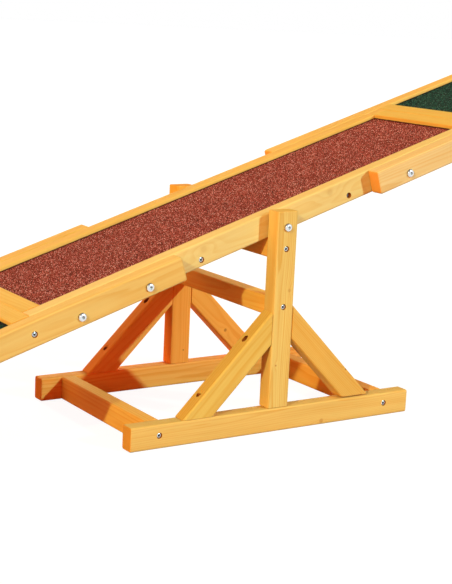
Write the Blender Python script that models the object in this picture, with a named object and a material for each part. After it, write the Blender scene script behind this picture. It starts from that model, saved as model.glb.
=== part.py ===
"""A dog agility seesaw: a long tilting walkway on a low timber trestle.

Units are metres and +Z is up. The origin is on the floor, midway between the trestle's rails and
straight below the pivot. +X runs along the walkway towards its raised end, and -Y is the front.
"""
import math
from dataclasses import dataclass

import bmesh
import bpy
from mathutils import Matrix, Vector

# Clearances
GAP = 0.0003                    # between faces that touch on the real seesaw
BAR_CLEARANCE = 0.001           # between the top bar and the walkway's underside at full tilt
CUT_OVERRUN = 0.012             # how far a hole's cutter stands out of the timber

# Timber finish
ARRIS_RADIUS = 0.0025           # rounding of the long edges
MEMBER_ARRIS_RADIUS = 0.0012    # rounding of the deck's cross members
ARRIS_SEGMENTS = 2
SHARP_ANGLE = math.radians(40)  # a fold above it stays sharp in the shading

# Trestle
TRESTLE_WIDTH = 0.290           # over the two rails
RAIL_LENGTH = 0.470
RAIL_THICKNESS = 0.023
RAIL_HEIGHT = 0.034
CROSS_RAIL_WIDTH = 0.023
RAIL_OVERHANG = 0.0325          # of a rail's end past the cross rail
POST_WIDTH = 0.034
POST_THICKNESS = 0.024
POST_TOP = 0.311                # above the floor
PIVOT_BELOW_POST_TOP = 0.022
BRACE_WIDTH = 0.034
BRACE_ANGLE = math.radians(45)
BRACE_RISE = 0.141              # of a brace's outer corner on the post, above the rail
FRONT_LEFT_BRACE_RISE = 0.138
FRONT_RIGHT_BRACE_RISE = 0.1445
BAR_WIDTH = 0.024
BAR_HEIGHT = 0.027
MID_BAR_CENTRE = 0.176          # above the floor

# Walkway
WALKWAY_LENGTH = 1.800
WALKWAY_DEPTH = 0.034
PIVOT_ABOVE_UNDERSIDE = 0.013
PIVOT_SPACER_THICKNESS = 0.0014
BEAM_THICKNESS = 0.022
END_RAIL_THICKNESS = 0.023
END_RAIL_START = 0.1665         # from the pivot, along the walkway
CENTRE_SECTION_END = 0.3832     # from the pivot, along the walkway
MEMBER_WIDTH = 0.0252
DECK_RECESS = 0.0053
MAT_THICKNESS = 0.0025
BOARD_THICKNESS = 0.006
LIP_WIDTH = 0.010               # of the ledge that carries a deck board's end
BEARER_WIDTH = 0.034
CENTRE_BEARER_OFFSET = 0.1274   # from the pivot, along the walkway
END_BEARER_OFFSET = 0.640

# Fasteners
SCREW_HEAD_RADIUS = 0.0040
SCREW_HEAD_HEIGHT = 0.0040
SCREW_SHANK_RADIUS = 0.0022
SCREW_RECESS = 0.0008           # of a screw's head below the timber's face
SCREW_GRIP = 0.028              # length in the second timber
BRACE_SCREW_GRIP = 0.013
BRACE_SCREW_LAND = 0.020        # timber left below the head in a brace
BRACE_TOP_SCREW_HEIGHT = 0.136  # above the floor
BRACE_FOOT_SCREW_OFFSET = 0.124
RAIL_SCREW_HEIGHT = 0.0185
BAR_SCREW_ABOVE_CENTRE = 0.002
INNER_MEMBER_SCREW_INSET = 0.0085
BOLT_HEAD_RADIUS = 0.0058
BOLT_HEAD_HEIGHT = 0.0036
BOLT_SHANK_RADIUS = 0.0030
BOLT_SOCKET_RADIUS = 0.0023
BOLT_SOCKET_DEPTH = 0.0022
BOLT_TIP = 0.0015               # of the bolt past its nut
DOME_START = math.radians(30)   # of a bolt head's curve, from its axis
DOME_STEP = math.radians(20)
DOME_RINGS = 4
CONNECTOR_OFFSETS = {"near": 0.223, "far": 0.325}   # from the pivot, along the walkway
NUT_RADIUS = 0.0058             # over the corners
NUT_HEIGHT = 0.005
SPACER_RADIUS = 0.008
SCREW_SIDES = 8
BOLT_SIDES = 12

# Trestle places that follow from the sizes
HALF_WIDTH = TRESTLE_WIDTH / 2
RAIL_Y = HALF_WIDTH - RAIL_THICKNESS / 2
POST_Y = HALF_WIDTH - POST_THICKNESS / 2
POST_INNER_Y = HALF_WIDTH - POST_THICKNESS
POST_FOOT = RAIL_HEIGHT + GAP
CROSS_RAIL_X = RAIL_LENGTH / 2 - RAIL_OVERHANG - CROSS_RAIL_WIDTH / 2
PIVOT_HEIGHT = POST_TOP - PIVOT_BELOW_POST_TOP

# Walkway places, in the walkway's own frame with the pivot as its origin
HALF_LENGTH = WALKWAY_LENGTH / 2
UNDERSIDE_Z = -PIVOT_ABOVE_UNDERSIDE
TOP_Z = WALKWAY_DEPTH - PIVOT_ABOVE_UNDERSIDE
MIDDLE_Z = (TOP_Z + UNDERSIDE_Z) / 2
MAT_TOP_Z = TOP_Z - DECK_RECESS
MAT_Z = MAT_TOP_Z - MAT_THICKNESS / 2
BOARD_TOP_Z = MAT_TOP_Z - MAT_THICKNESS - GAP
BOARD_Z = BOARD_TOP_Z - BOARD_THICKNESS / 2
LIP_Z = BOARD_TOP_Z - BOARD_THICKNESS - GAP
BEARER_HEIGHT = LIP_Z - UNDERSIDE_Z
BEARER_Z = (LIP_Z + UNDERSIDE_Z) / 2
BEAM_OUTER_Y = POST_INNER_Y - PIVOT_SPACER_THICKNESS - 2 * GAP
BEAM_INNER_Y = BEAM_OUTER_Y - BEAM_THICKNESS
END_RAIL_INNER_Y = BEAM_OUTER_Y + GAP
END_RAIL_OUTER_Y = END_RAIL_INNER_Y + END_RAIL_THICKNESS
CENTRE_DECK_END = CENTRE_SECTION_END - MEMBER_WIDTH
INNER_MEMBER_START = CENTRE_SECTION_END + GAP
INNER_MEMBER_END = INNER_MEMBER_START + MEMBER_WIDTH
OUTER_MEMBER_START = HALF_LENGTH - MEMBER_WIDTH

# The tilt at which the walkway's lower end just meets the floor
TILT = (math.asin(PIVOT_HEIGHT / math.hypot(HALF_LENGTH, PIVOT_ABOVE_UNDERSIDE))
        - math.atan2(PIVOT_ABOVE_UNDERSIDE, HALF_LENGTH))
TOP_BAR_TOP = (PIVOT_HEIGHT - PIVOT_ABOVE_UNDERSIDE / math.cos(TILT)
               - BAR_WIDTH / 2 * math.tan(TILT) - BAR_CLEARANCE)
TOP_BAR_CENTRE = TOP_BAR_TOP - BAR_HEIGHT / 2

SIDES = {"front": -1, "rear": 1}
HANDS = {"left": -1, "right": 1}

# Finishes: colour, roughness and metallic value
PINE = ((0.85, 0.54, 0.17), 0.5, 0.0)
PLYWOOD = ((0.62, 0.44, 0.24), 0.7, 0.0)
RED_MINERAL = ((0.30, 0.085, 0.055), 0.95, 0.0)
GREEN_MINERAL = ((0.022, 0.060, 0.036), 0.95, 0.0)
ZINC = ((0.70, 0.71, 0.72), 0.3, 1.0)


@dataclass(frozen=True)
class Fastener:
    """A turned fastener: its head stands from z = 0 upwards, its shank hangs below."""
    head_radius: float
    head_height: float
    shank_radius: float
    sides: int
    socket_radius: float = 0.0
    socket_depth: float = 0.0

    def rings(self, length, nut_start=0.0):
        """Lists the stations of the solid, from inside the socket to the shank's tip.

        With nut_start, the nut that is run up on the bolt is part of the solid.
        """
        if self.socket_radius:
            yield self.head_height - self.socket_depth, self.socket_radius, True
            yield self.head_height, self.socket_radius, True
            for step in range(DOME_RINGS):
                angle = DOME_START + DOME_STEP * step
                yield (self.head_height * math.cos(angle) / math.cos(DOME_START),
                       self.head_radius * math.sin(angle), False)
        else:
            yield self.head_height, self.head_radius, False
            yield 0.0, self.head_radius, False
        yield 0.0, self.shank_radius, False
        if nut_start:
            yield -nut_start, self.shank_radius, False
            yield -nut_start, NUT_RADIUS, True
            yield -nut_start - NUT_HEIGHT, NUT_RADIUS, True
            yield -nut_start - NUT_HEIGHT, self.shank_radius, False
        yield -length, self.shank_radius, False

    def hole(self, length, depth):
        """Lists the stations of the hole that takes the fastener, its head sunk by depth."""
        fit = GAP / math.cos(math.pi / self.sides)
        scale = 1 / math.cos(math.pi / self.sides)
        shank = self.shank_radius * scale + fit
        if depth > 0:
            head = self.head_radius * scale + fit
            yield self.head_height + depth + CUT_OVERRUN, head, False
            yield -GAP, head, False
            yield -GAP, shank, False
        else:
            yield CUT_OVERRUN, shank, False
        yield -length - GAP, shank, False


@dataclass(frozen=True)
class Seat:
    """Where one fastener goes: a point on the timber's face, the way out of it and its reach."""
    name: str
    point: tuple
    outward: tuple
    length: float
    depth: float = 0.0


SCREW = Fastener(SCREW_HEAD_RADIUS, SCREW_HEAD_HEIGHT, SCREW_SHANK_RADIUS, SCREW_SIDES)
BOLT = Fastener(BOLT_HEAD_RADIUS, BOLT_HEAD_HEIGHT, BOLT_SHANK_RADIUS, BOLT_SIDES,
                BOLT_SOCKET_RADIUS, BOLT_SOCKET_DEPTH)


def clear_scene():
    """Removes every object, so that the script starts from an empty scene."""
    for item in list(bpy.data.objects):
        bpy.data.objects.remove(item, do_unlink=True)


def make_empty(name, location=(0, 0, 0), rotation=(0, 0, 0)):
    """Makes an empty that pieces are parented to."""
    empty = bpy.data.objects.new(name, None)
    empty.location = location
    empty.rotation_euler = rotation
    bpy.context.collection.objects.link(empty)
    return empty


def make_material(name, colour, roughness, metallic):
    """Makes a plain Principled material."""
    material = bpy.data.materials.new(name)
    material.use_nodes = True
    shader = material.node_tree.nodes["Principled BSDF"]
    shader.inputs["Base Color"].default_value = (*colour, 1)
    shader.inputs["Roughness"].default_value = roughness
    shader.inputs["Metallic"].default_value = metallic
    material.diffuse_color = (*colour, 1)
    return material


def make_object(name, bm, parent, location=(0, 0, 0), finish=PINE):
    """Turns a bmesh into a named object with its own material."""
    bmesh.ops.recalc_face_normals(bm, faces=bm.faces[:])
    mesh = bpy.data.meshes.new(name)
    bm.to_mesh(mesh)
    bm.free()
    mesh.shade_smooth()
    mesh.set_sharp_from_angle(angle=SHARP_ANGLE)
    mesh.materials.append(make_material(name, *finish))
    item = bpy.data.objects.new(name, mesh)
    item.parent = parent
    item.location = location
    bpy.context.collection.objects.link(item)
    return item


def round_edges(bm, edges, radius):
    """Rounds the given edges."""
    bmesh.ops.bevel(bm, geom=edges, offset=radius, segments=ARRIS_SEGMENTS, profile=0.5,
                    affect="EDGES", clamp_overlap=True)


def timber(name, size, centre, grain, parent):
    """Makes a straight piece of timber whose long edges, along its grain, are rounded."""
    bm = bmesh.new()
    bmesh.ops.create_cube(bm, size=1.0, matrix=Matrix.Diagonal((*size, 1)))
    axis = "XYZ".index(grain)
    edges = [edge for edge in bm.edges
             if abs(edge.verts[0].co[axis] - edge.verts[1].co[axis]) > size[axis] / 2]
    round_edges(bm, edges, ARRIS_RADIUS)
    return make_object(name, bm, parent, centre)


def sheet(name, size, centre, parent, finish):
    """Makes a thin board or mat."""
    bm = bmesh.new()
    bmesh.ops.create_cube(bm, size=1.0, matrix=Matrix.Diagonal((*size, 1)))
    return make_object(name, bm, parent, centre, finish)


def prism(outline, thickness):
    """Makes a bmesh by extruding an outline in X and Z along Y, about Y = 0."""
    bm = bmesh.new()
    corners = [bm.verts.new((x, -thickness / 2, z)) for x, z in outline]
    face = bm.faces.new(corners)
    extruded = bmesh.ops.extrude_face_region(bm, geom=[face])
    moved = [item for item in extruded["geom"] if isinstance(item, bmesh.types.BMVert)]
    bmesh.ops.translate(bm, verts=moved, vec=(0, thickness, 0))
    return bm


def brace(name, hand, side, rise, parent):
    """Makes a brace, cut level on the rail and upright against the post."""
    post_x = POST_WIDTH / 2 + GAP
    run = rise / math.tan(BRACE_ANGLE)
    down = BRACE_WIDTH / math.cos(BRACE_ANGLE)
    inward = BRACE_WIDTH / math.sin(BRACE_ANGLE)
    outline = [(post_x + run, POST_FOOT), (post_x, POST_FOOT + rise),
               (post_x, POST_FOOT + rise - down), (post_x + run - inward, POST_FOOT)]
    bm = prism([(hand * x, z) for x, z in outline], POST_THICKNESS)
    edges = [edge for edge in bm.edges
             if abs(edge.verts[0].co.x - edge.verts[1].co.x) > GAP
             and abs(edge.verts[0].co.z - edge.verts[1].co.z) > GAP]
    round_edges(bm, edges, ARRIS_RADIUS)
    return make_object(name, bm, parent, (0, side * POST_Y, 0))


def brace_reach(rise, height):
    """Gives how far a brace's outer face stands from the pivot line at a height."""
    return POST_WIDTH / 2 + GAP + (POST_FOOT + rise - height) / math.tan(BRACE_ANGLE)


def rebated_member(name, plain_x, deck_x, half_width, parent):
    """Makes a cross member with a ledge for a deck board along the side at deck_x."""
    ledge_x = deck_x + math.copysign(LIP_WIDTH, deck_x - plain_x)
    outline = [(plain_x, UNDERSIDE_Z), (plain_x, TOP_Z), (deck_x, TOP_Z), (deck_x, LIP_Z),
               (ledge_x, LIP_Z), (ledge_x, UNDERSIDE_Z)]
    bm = prism(outline, 2 * half_width)
    edges = [edge for edge in bm.edges
             if min(vert.co.z for vert in edge.verts) > TOP_Z - GAP
             and abs(edge.verts[0].co.y - edge.verts[1].co.y) > half_width]
    round_edges(bm, edges, MEMBER_ARRIS_RADIUS)
    return make_object(name, bm, parent)


def placement(seat, kind=None):
    """Gives the matrix that stands a fastener in its seat, or a ring on the seat's face."""
    lift = 0.0
    if kind:
        lift = -seat.depth - kind.head_height if seat.depth else GAP
    outward = Vector(seat.outward)
    turn = outward.to_track_quat("Z", "Y").to_matrix().to_4x4()
    return Matrix.Translation(Vector(seat.point) + outward * lift) @ turn


def add_turned(bm, rings, matrix, sides, hollow=False):
    """Adds a solid turned about its Z axis, from stations of height, radius and hexagon or not."""
    loops = []
    for height, radius, hexagonal in rings:
        loop = []
        for index in range(sides):
            angle = 2 * math.pi * index / sides
            reach = radius * (math.cos(math.pi / 6) if hexagonal and index % 2 else 1)
            point = Vector((reach * math.cos(angle), reach * math.sin(angle), height))
            loop.append(bm.verts.new(matrix @ point))
        loops.append(loop)
    pairs = list(zip(loops, loops[1:]))
    if hollow:
        pairs.append((loops[-1], loops[0]))
    else:
        bm.faces.new(loops[0])
        bm.faces.new(loops[-1][::-1])
    for first, second in pairs:
        for index in range(sides):
            after = (index + 1) % sides
            bm.faces.new((first[index], second[index], second[after], first[after]))


def cut_holes(name, kind, seats, targets, parent):
    """Cuts the holes that take one group of fasteners."""
    holes = bmesh.new()
    for seat in seats:
        add_turned(holes, kind.hole(seat.length, seat.depth), placement(seat, kind), kind.sides)
    bmesh.ops.recalc_face_normals(holes, faces=holes.faces[:])
    mesh = bpy.data.meshes.new(name)
    holes.to_mesh(mesh)
    holes.free()
    cutter = bpy.data.objects.new(name, mesh)
    cutter.parent = parent
    cutter.hide_render = True
    cutter.display_type = "WIRE"
    bpy.context.collection.objects.link(cutter)
    for target in targets:
        cut = target.modifiers.new(name, "BOOLEAN")
        cut.operation = "DIFFERENCE"
        cut.solver = "EXACT"
        cut.object = cutter


def add_fasteners(kind, seats, parent, nut_start=0.0):
    """Makes one object for each seat's fastener."""
    for seat in seats:
        solid = bmesh.new()
        add_turned(solid, kind.rings(seat.length, nut_start), Matrix.Identity(4), kind.sides)
        item = make_object(seat.name, solid, parent, finish=ZINC)
        item.matrix_local = placement(seat, kind)


def add_ring(seat, outer_radius, height, hexagonal, start, parent):
    """Makes a spacer or a nut round a bolt, start below its seat's face."""
    solid = bmesh.new()
    bore = BOLT_SHANK_RADIUS + GAP
    rings = [(-start, bore, False), (-start, outer_radius, hexagonal),
             (-start - height, outer_radius, hexagonal), (-start - height, bore, False)]
    add_turned(solid, rings, Matrix.Identity(4), BOLT_SIDES, hollow=True)
    item = make_object(seat.name, solid, parent, finish=ZINC)
    item.matrix_local = placement(seat)


def build_trestle(parent):
    """Builds the rails, posts, braces and bars, and gives them by name."""
    pieces = {}
    cross_length = TRESTLE_WIDTH - 2 * RAIL_THICKNESS - 2 * GAP
    bar_length = 2 * (POST_INNER_Y - GAP)
    post_length = POST_TOP - POST_FOOT
    for side_name, side in SIDES.items():
        pieces["rail_" + side_name] = timber(
            "rail_" + side_name, (RAIL_LENGTH, RAIL_THICKNESS, RAIL_HEIGHT),
            (0, side * RAIL_Y, RAIL_HEIGHT / 2), "X", parent)
        pieces["post_" + side_name] = timber(
            "post_" + side_name, (POST_WIDTH, POST_THICKNESS, post_length),
            (0, side * POST_Y, POST_FOOT + post_length / 2), "Z", parent)
    for hand_name, hand in HANDS.items():
        pieces["cross_rail_" + hand_name] = timber(
            "cross_rail_" + hand_name, (CROSS_RAIL_WIDTH, cross_length, RAIL_HEIGHT),
            (hand * CROSS_RAIL_X, 0, RAIL_HEIGHT / 2), "Y", parent)
        for side_name, side in SIDES.items():
            name = f"brace_{side_name}_{hand_name}"
            pieces[name] = brace(name, hand, side, brace_rise(name), parent)
    pieces["mid_bar"] = timber("mid_bar", (BAR_WIDTH, bar_length, BAR_HEIGHT),
                               (0, 0, MID_BAR_CENTRE), "Y", parent)
    pieces["top_bar"] = timber("top_bar", (BAR_WIDTH, bar_length, BAR_HEIGHT),
                               (0, 0, TOP_BAR_CENTRE), "Y", parent)
    return pieces


def brace_rise(name):
    """Gives a brace's rise, which differs a little between the two front ones."""
    front = {"brace_front_left": FRONT_LEFT_BRACE_RISE, "brace_front_right": FRONT_RIGHT_BRACE_RISE}
    return front.get(name, BRACE_RISE)


def fasten_trestle(pieces, parent):
    """Screws the trestle together."""
    rail_seats, bar_seats, brace_seats = [], [], []
    through_brace = BRACE_SCREW_LAND + BRACE_SCREW_GRIP
    post_face = POST_WIDTH / 2 + GAP
    bars = (("mid", MID_BAR_CENTRE), ("top", TOP_BAR_CENTRE))
    for side_name, side in SIDES.items():
        for hand_name, hand in HANDS.items():
            rail_seats.append(Seat(
                f"rail_screw_{side_name}_{hand_name}",
                (hand * CROSS_RAIL_X, side * HALF_WIDTH, RAIL_SCREW_HEIGHT), (0, side, 0),
                RAIL_THICKNESS + SCREW_GRIP, SCREW_RECESS))
            name = f"brace_{side_name}_{hand_name}"
            rise = brace_rise(name)
            top_x = brace_reach(rise, BRACE_TOP_SCREW_HEIGHT)
            top_depth = top_x - post_face - BRACE_SCREW_LAND - SCREW_HEAD_HEIGHT
            brace_seats.append(Seat(
                name + "_top", (hand * top_x, side * POST_Y, BRACE_TOP_SCREW_HEIGHT),
                (hand, 0, 0), through_brace, top_depth))
            foot_z = POST_FOOT + rise - (BRACE_FOOT_SCREW_OFFSET - post_face) * math.tan(BRACE_ANGLE)
            foot_depth = foot_z - POST_FOOT - BRACE_SCREW_LAND - SCREW_HEAD_HEIGHT
            brace_seats.append(Seat(
                name + "_foot", (hand * BRACE_FOOT_SCREW_OFFSET, side * POST_Y, foot_z),
                (0, 0, 1), through_brace, foot_depth))
        for bar_name, centre in bars:
            bar_seats.append(Seat(
                f"bar_screw_{bar_name}_{side_name}",
                (0, side * HALF_WIDTH, centre + BAR_SCREW_ABOVE_CENTRE), (0, side, 0),
                POST_THICKNESS + SCREW_GRIP, SCREW_RECESS))
    rail_pair = [pieces["rail_front"], pieces["rail_rear"]]
    post_pair = [pieces["post_front"], pieces["post_rear"]]
    cross_pair = [pieces["cross_rail_left"], pieces["cross_rail_right"]]
    brace_four = [piece for name, piece in pieces.items() if name.startswith("brace_")]
    cut_holes("rail_screw_holes", SCREW, rail_seats, rail_pair + cross_pair, parent)
    cut_holes("bar_screw_holes", SCREW, bar_seats,
              post_pair + [pieces["mid_bar"], pieces["top_bar"]], parent)
    cut_holes("brace_screw_holes", SCREW, brace_seats, rail_pair + post_pair + brace_four, parent)
    add_fasteners(SCREW, rail_seats + bar_seats, parent)


def build_centre_section(parent):
    """Builds the walkway's middle: two beams, their members, the deck board and the red mat."""
    pieces = {}
    beam_y = (BEAM_OUTER_Y + BEAM_INNER_Y) / 2
    deck_half = BEAM_INNER_Y - GAP
    for side_name, side in SIDES.items():
        pieces["beam_" + side_name] = timber(
            "beam_" + side_name, (2 * CENTRE_SECTION_END, BEAM_THICKNESS, WALKWAY_DEPTH),
            (0, side * beam_y, MIDDLE_Z), "X", parent)
    for hand_name, hand in HANDS.items():
        pieces["centre_end_member_" + hand_name] = rebated_member(
            "centre_end_member_" + hand_name, hand * CENTRE_SECTION_END, hand * CENTRE_DECK_END,
            deck_half, parent)
        pieces["centre_bearer_" + hand_name] = timber(
            "centre_bearer_" + hand_name, (BEARER_WIDTH, 2 * deck_half, BEARER_HEIGHT),
            (hand * CENTRE_BEARER_OFFSET, 0, BEARER_Z), "Y", parent)
    deck_length = 2 * (CENTRE_DECK_END - GAP)
    sheet("centre_deck_board", (deck_length, 2 * deck_half, BOARD_THICKNESS), (0, 0, BOARD_Z),
          parent, PLYWOOD)
    sheet("centre_mat_red", (deck_length, 2 * deck_half, MAT_THICKNESS), (0, 0, MAT_Z),
          parent, RED_MINERAL)
    return pieces


def build_end_section(hand_name, hand, parent):
    """Builds one end of the walkway: outer rails, members, a deck board and a green mat."""
    pieces = {}
    rail_length = HALF_LENGTH - END_RAIL_START
    rail_y = (END_RAIL_OUTER_Y + END_RAIL_INNER_Y) / 2
    deck_half = END_RAIL_INNER_Y - GAP
    for side_name, side in SIDES.items():
        name = f"end_rail_{side_name}_{hand_name}"
        pieces[name] = timber(name, (rail_length, END_RAIL_THICKNESS, WALKWAY_DEPTH),
                              (hand * (END_RAIL_START + rail_length / 2), side * rail_y,
                               MIDDLE_Z), "X", parent)
    pieces["inner_member_" + hand_name] = rebated_member(
        "inner_member_" + hand_name, hand * INNER_MEMBER_START, hand * INNER_MEMBER_END,
        deck_half, parent)
    pieces["outer_member_" + hand_name] = rebated_member(
        "outer_member_" + hand_name, hand * HALF_LENGTH, hand * OUTER_MEMBER_START,
        deck_half, parent)
    pieces["end_bearer_" + hand_name] = timber(
        "end_bearer_" + hand_name, (BEARER_WIDTH, 2 * deck_half, BEARER_HEIGHT),
        (hand * END_BEARER_OFFSET, 0, BEARER_Z), "Y", parent)
    deck_length = OUTER_MEMBER_START - INNER_MEMBER_END - 2 * GAP
    deck_x = hand * (OUTER_MEMBER_START + INNER_MEMBER_END) / 2
    sheet("end_deck_board_" + hand_name, (deck_length, 2 * deck_half, BOARD_THICKNESS),
          (deck_x, 0, BOARD_Z), parent, PLYWOOD)
    sheet("end_mat_green_" + hand_name, (deck_length, 2 * deck_half, MAT_THICKNESS),
          (deck_x, 0, MAT_Z), parent, GREEN_MINERAL)
    return pieces


def fasten_walkway(centre, ends, parent):
    """Screws each section together and bolts the end sections to the centre section."""
    beams = [centre["beam_front"], centre["beam_rear"]]
    bearer_seats, bolt_seats = [], []
    end_seats = {"left": [], "right": []}
    end_screws = (("inner_member", INNER_MEMBER_START + INNER_MEMBER_SCREW_INSET, MIDDLE_Z),
                  ("end_bearer", END_BEARER_OFFSET, BEARER_Z),
                  ("outer_member", HALF_LENGTH - MEMBER_WIDTH / 2, MIDDLE_Z))
    nut_start = END_RAIL_THICKNESS + BEAM_THICKNESS + 3 * GAP
    bolt_length = nut_start + NUT_HEIGHT + BOLT_TIP
    for side_name, side in SIDES.items():
        outward = (0, side, 0)
        for hand_name, hand in HANDS.items():
            bearer_seats.append(Seat(
                f"bearer_screw_{side_name}_{hand_name}",
                (hand * CENTRE_BEARER_OFFSET, side * BEAM_OUTER_Y, BEARER_Z), outward,
                BEAM_THICKNESS + SCREW_GRIP, SCREW_RECESS))
            for place, offset in CONNECTOR_OFFSETS.items():
                bolt_seats.append(Seat(
                    f"connector_bolt_{side_name}_{hand_name}_{place}",
                    (hand * offset, side * END_RAIL_OUTER_Y, 0), outward, bolt_length))
            for place, x, z in end_screws:
                end_seats[hand_name].append(Seat(
                    f"{place}_screw_{side_name}_{hand_name}",
                    (hand * x, side * END_RAIL_OUTER_Y, z), outward,
                    END_RAIL_THICKNESS + SCREW_GRIP, SCREW_RECESS))
    bearers = [piece for name, piece in centre.items() if name.startswith("centre_bearer")]
    rails = [piece for end in ends.values() for name, piece in end.items()
             if name.startswith("end_rail")]
    cut_holes("bearer_screw_holes", SCREW, bearer_seats, beams + bearers, parent)
    cut_holes("connector_bolt_holes", BOLT, bolt_seats, beams + rails, parent)
    for hand_name, seats in end_seats.items():
        timbers = [piece for name, piece in ends[hand_name].items()
                   if not name.startswith(("end_deck", "end_mat"))]
        cut_holes("end_screw_holes_" + hand_name, SCREW, seats, timbers, parent)
    add_fasteners(SCREW, bearer_seats, parent)
    add_fasteners(BOLT, bolt_seats, parent, nut_start)


def build_pivots(trestle, centre, parent):
    """Hangs the walkway's beams on the posts with a bolt, a spacer and a nut at each side."""
    nut_start = HALF_WIDTH - BEAM_INNER_Y + GAP
    bolt_length = nut_start + NUT_HEIGHT + BOLT_TIP
    for side_name, side in SIDES.items():
        point = (0, side * HALF_WIDTH, PIVOT_HEIGHT)
        outward = (0, side, 0)
        bolt = Seat("pivot_bolt_" + side_name, point, outward, bolt_length)
        cut_holes("pivot_hole_" + side_name, BOLT, [bolt],
                  [trestle["post_" + side_name], centre["beam_" + side_name]], parent)
        add_fasteners(BOLT, [bolt], parent)
        add_ring(Seat("pivot_spacer_" + side_name, point, outward, 0), SPACER_RADIUS,
                 PIVOT_SPACER_THICKNESS, False, POST_THICKNESS + GAP, parent)
        add_ring(Seat("pivot_nut_" + side_name, point, outward, 0), NUT_RADIUS, NUT_HEIGHT, True,
                 nut_start, parent)


def main():
    """Builds the whole seesaw, standing with the walkway's left end on the floor."""
    clear_scene()
    trestle_frame = make_empty("trestle_frame")
    walkway_axis = make_empty("walkway_axis", (0, 0, PIVOT_HEIGHT), (0, -TILT, 0))
    trestle = build_trestle(trestle_frame)
    fasten_trestle(trestle, trestle_frame)
    centre = build_centre_section(walkway_axis)
    ends = {name: build_end_section(name, hand, walkway_axis) for name, hand in HANDS.items()}
    fasten_walkway(centre, ends, walkway_axis)
    build_pivots(trestle, centre, trestle_frame)


main()
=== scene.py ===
"""Looks of the dog agility seesaw: glazed pine, mineral-faced mats and zinc-plated fasteners.

Units are metres and +Z is up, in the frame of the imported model. The walkway's pieces are shaped in
the walkway's own frame, with the pivot as its origin, and are then turned to its rest tilt.
"""

import logging
import math
import random
from dataclasses import dataclass, field
from enum import Enum
from functools import cache, partialmethod
from typing import Any, Mapping, Optional, Sequence, Union

import bmesh
import bpy
from bmesh.types import BMesh, BMVert
from bpy.types import ID, Material, Mesh, Node, NodeSocket, NodeTree, Object
from mathutils import Matrix, Vector, noise


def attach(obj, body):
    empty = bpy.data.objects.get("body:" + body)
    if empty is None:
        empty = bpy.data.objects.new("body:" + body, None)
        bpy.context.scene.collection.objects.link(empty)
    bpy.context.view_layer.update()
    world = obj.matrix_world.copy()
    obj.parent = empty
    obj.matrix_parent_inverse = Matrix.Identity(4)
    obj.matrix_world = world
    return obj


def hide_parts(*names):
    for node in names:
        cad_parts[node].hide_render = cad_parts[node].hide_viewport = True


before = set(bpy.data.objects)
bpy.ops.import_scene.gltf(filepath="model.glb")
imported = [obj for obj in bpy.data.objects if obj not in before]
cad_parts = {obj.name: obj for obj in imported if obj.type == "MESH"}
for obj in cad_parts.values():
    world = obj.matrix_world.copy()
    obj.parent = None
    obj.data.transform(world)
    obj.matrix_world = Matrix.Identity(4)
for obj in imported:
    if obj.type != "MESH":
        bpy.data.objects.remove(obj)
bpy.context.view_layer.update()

LOG = logging.getLogger("seesaw")

Point = tuple[float, float, float]
Loop = list[BMVert]
Term = Union["Signal", float, Sequence[float]]

GAP = 0.0003
PIVOT_HEIGHT = 0.289
PIVOT_BORE = 0.06
WALKWAY_TILT = 0.3124237
FACE_Y = 0.145
SHARP_ANGLE = 32.0


class Body(Enum):
    """The two bodies that move against each other."""
    TRESTLE = "trestle"
    WALKWAY = "walkway"

    @property
    def place(self) -> Matrix:
        """Gives the frame that the body's pieces are shaped in.

        Returns:
            The frame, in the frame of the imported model.
        """
        if self is Body.TRESTLE:
            return Matrix.Identity(4)
        return Matrix.Translation((0, 0, PIVOT_HEIGHT)) @ Matrix.Rotation(-WALKWAY_TILT, 4, "Y")


class Slot(Enum):
    """The material slots of the record."""
    PINE = "pine"
    PLYWOOD = "plywood"
    RED_MAT = "red_mat"
    GREEN_MAT = "green_mat"
    ZINC = "zinc_steel"


class Way(Enum):
    """A way out from the seesaw's middle, as the sign of an axis."""

    @property
    def word(self) -> str:
        """Gives the way's word in piece names."""
        return self.name.lower()


class Side(Way):
    """The front and rear of the seesaw, as the sign of Y."""
    FRONT = -1
    REAR = 1


class Hand(Way):
    """The lowered left and raised right end, as the sign of X."""
    LEFT = -1
    RIGHT = 1


class Grain(Enum):
    """The way a timber lies in its section, as a turn of its own X axis by degrees."""
    ACROSS = (90, "Z")
    BACKWARDS = (-90, "Z")
    UPRIGHT = (-90, "Y")

    @property
    def turn(self) -> Matrix:
        """Gives the turn from the timber's frame to its section's."""
        degrees, axis = self.value
        return Matrix.Rotation(math.radians(degrees), 4, axis)


class Face(Enum):
    """The face of a timber that shows a knot, as the axis that it is square to."""
    SIDE = "Y"
    TOP = "Z"


# Node maths

@dataclass(frozen=True, eq=False)
class Signal:
    """A node's output that Python's operators work on."""
    graph: "Graph"
    socket: NodeSocket

    def with_term(self, operation: str, other: Term) -> "Signal":
        """Puts this and another term through a Math node."""
        return self.graph.maths(operation, self, other)

    __add__ = __radd__ = partialmethod(with_term, "ADD")
    __sub__ = partialmethod(with_term, "SUBTRACT")
    __mul__ = __rmul__ = partialmethod(with_term, "MULTIPLY")
    __truediv__ = partialmethod(with_term, "DIVIDE")
    __pow__ = partialmethod(with_term, "POWER")

    def __rsub__(self, other: Term) -> "Signal":
        """Takes this away from a number."""
        return self.graph.maths("SUBTRACT", other, self)

    def part(self, axis: str) -> "Signal":
        """Gives the X, Y or Z of a vector."""
        return self.graph.node("ShaderNodeSeparateXYZ", {}, {0: self}, axis)

    def step(self, low: float, high: float) -> "Signal":
        """Rises smoothly from 0 at low to 1 at high."""
        return self.graph.node("ShaderNodeMapRange", {"interpolation_type": "SMOOTHSTEP"},
                               {"Value": self, "From Min": low, "From Max": high})


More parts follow.
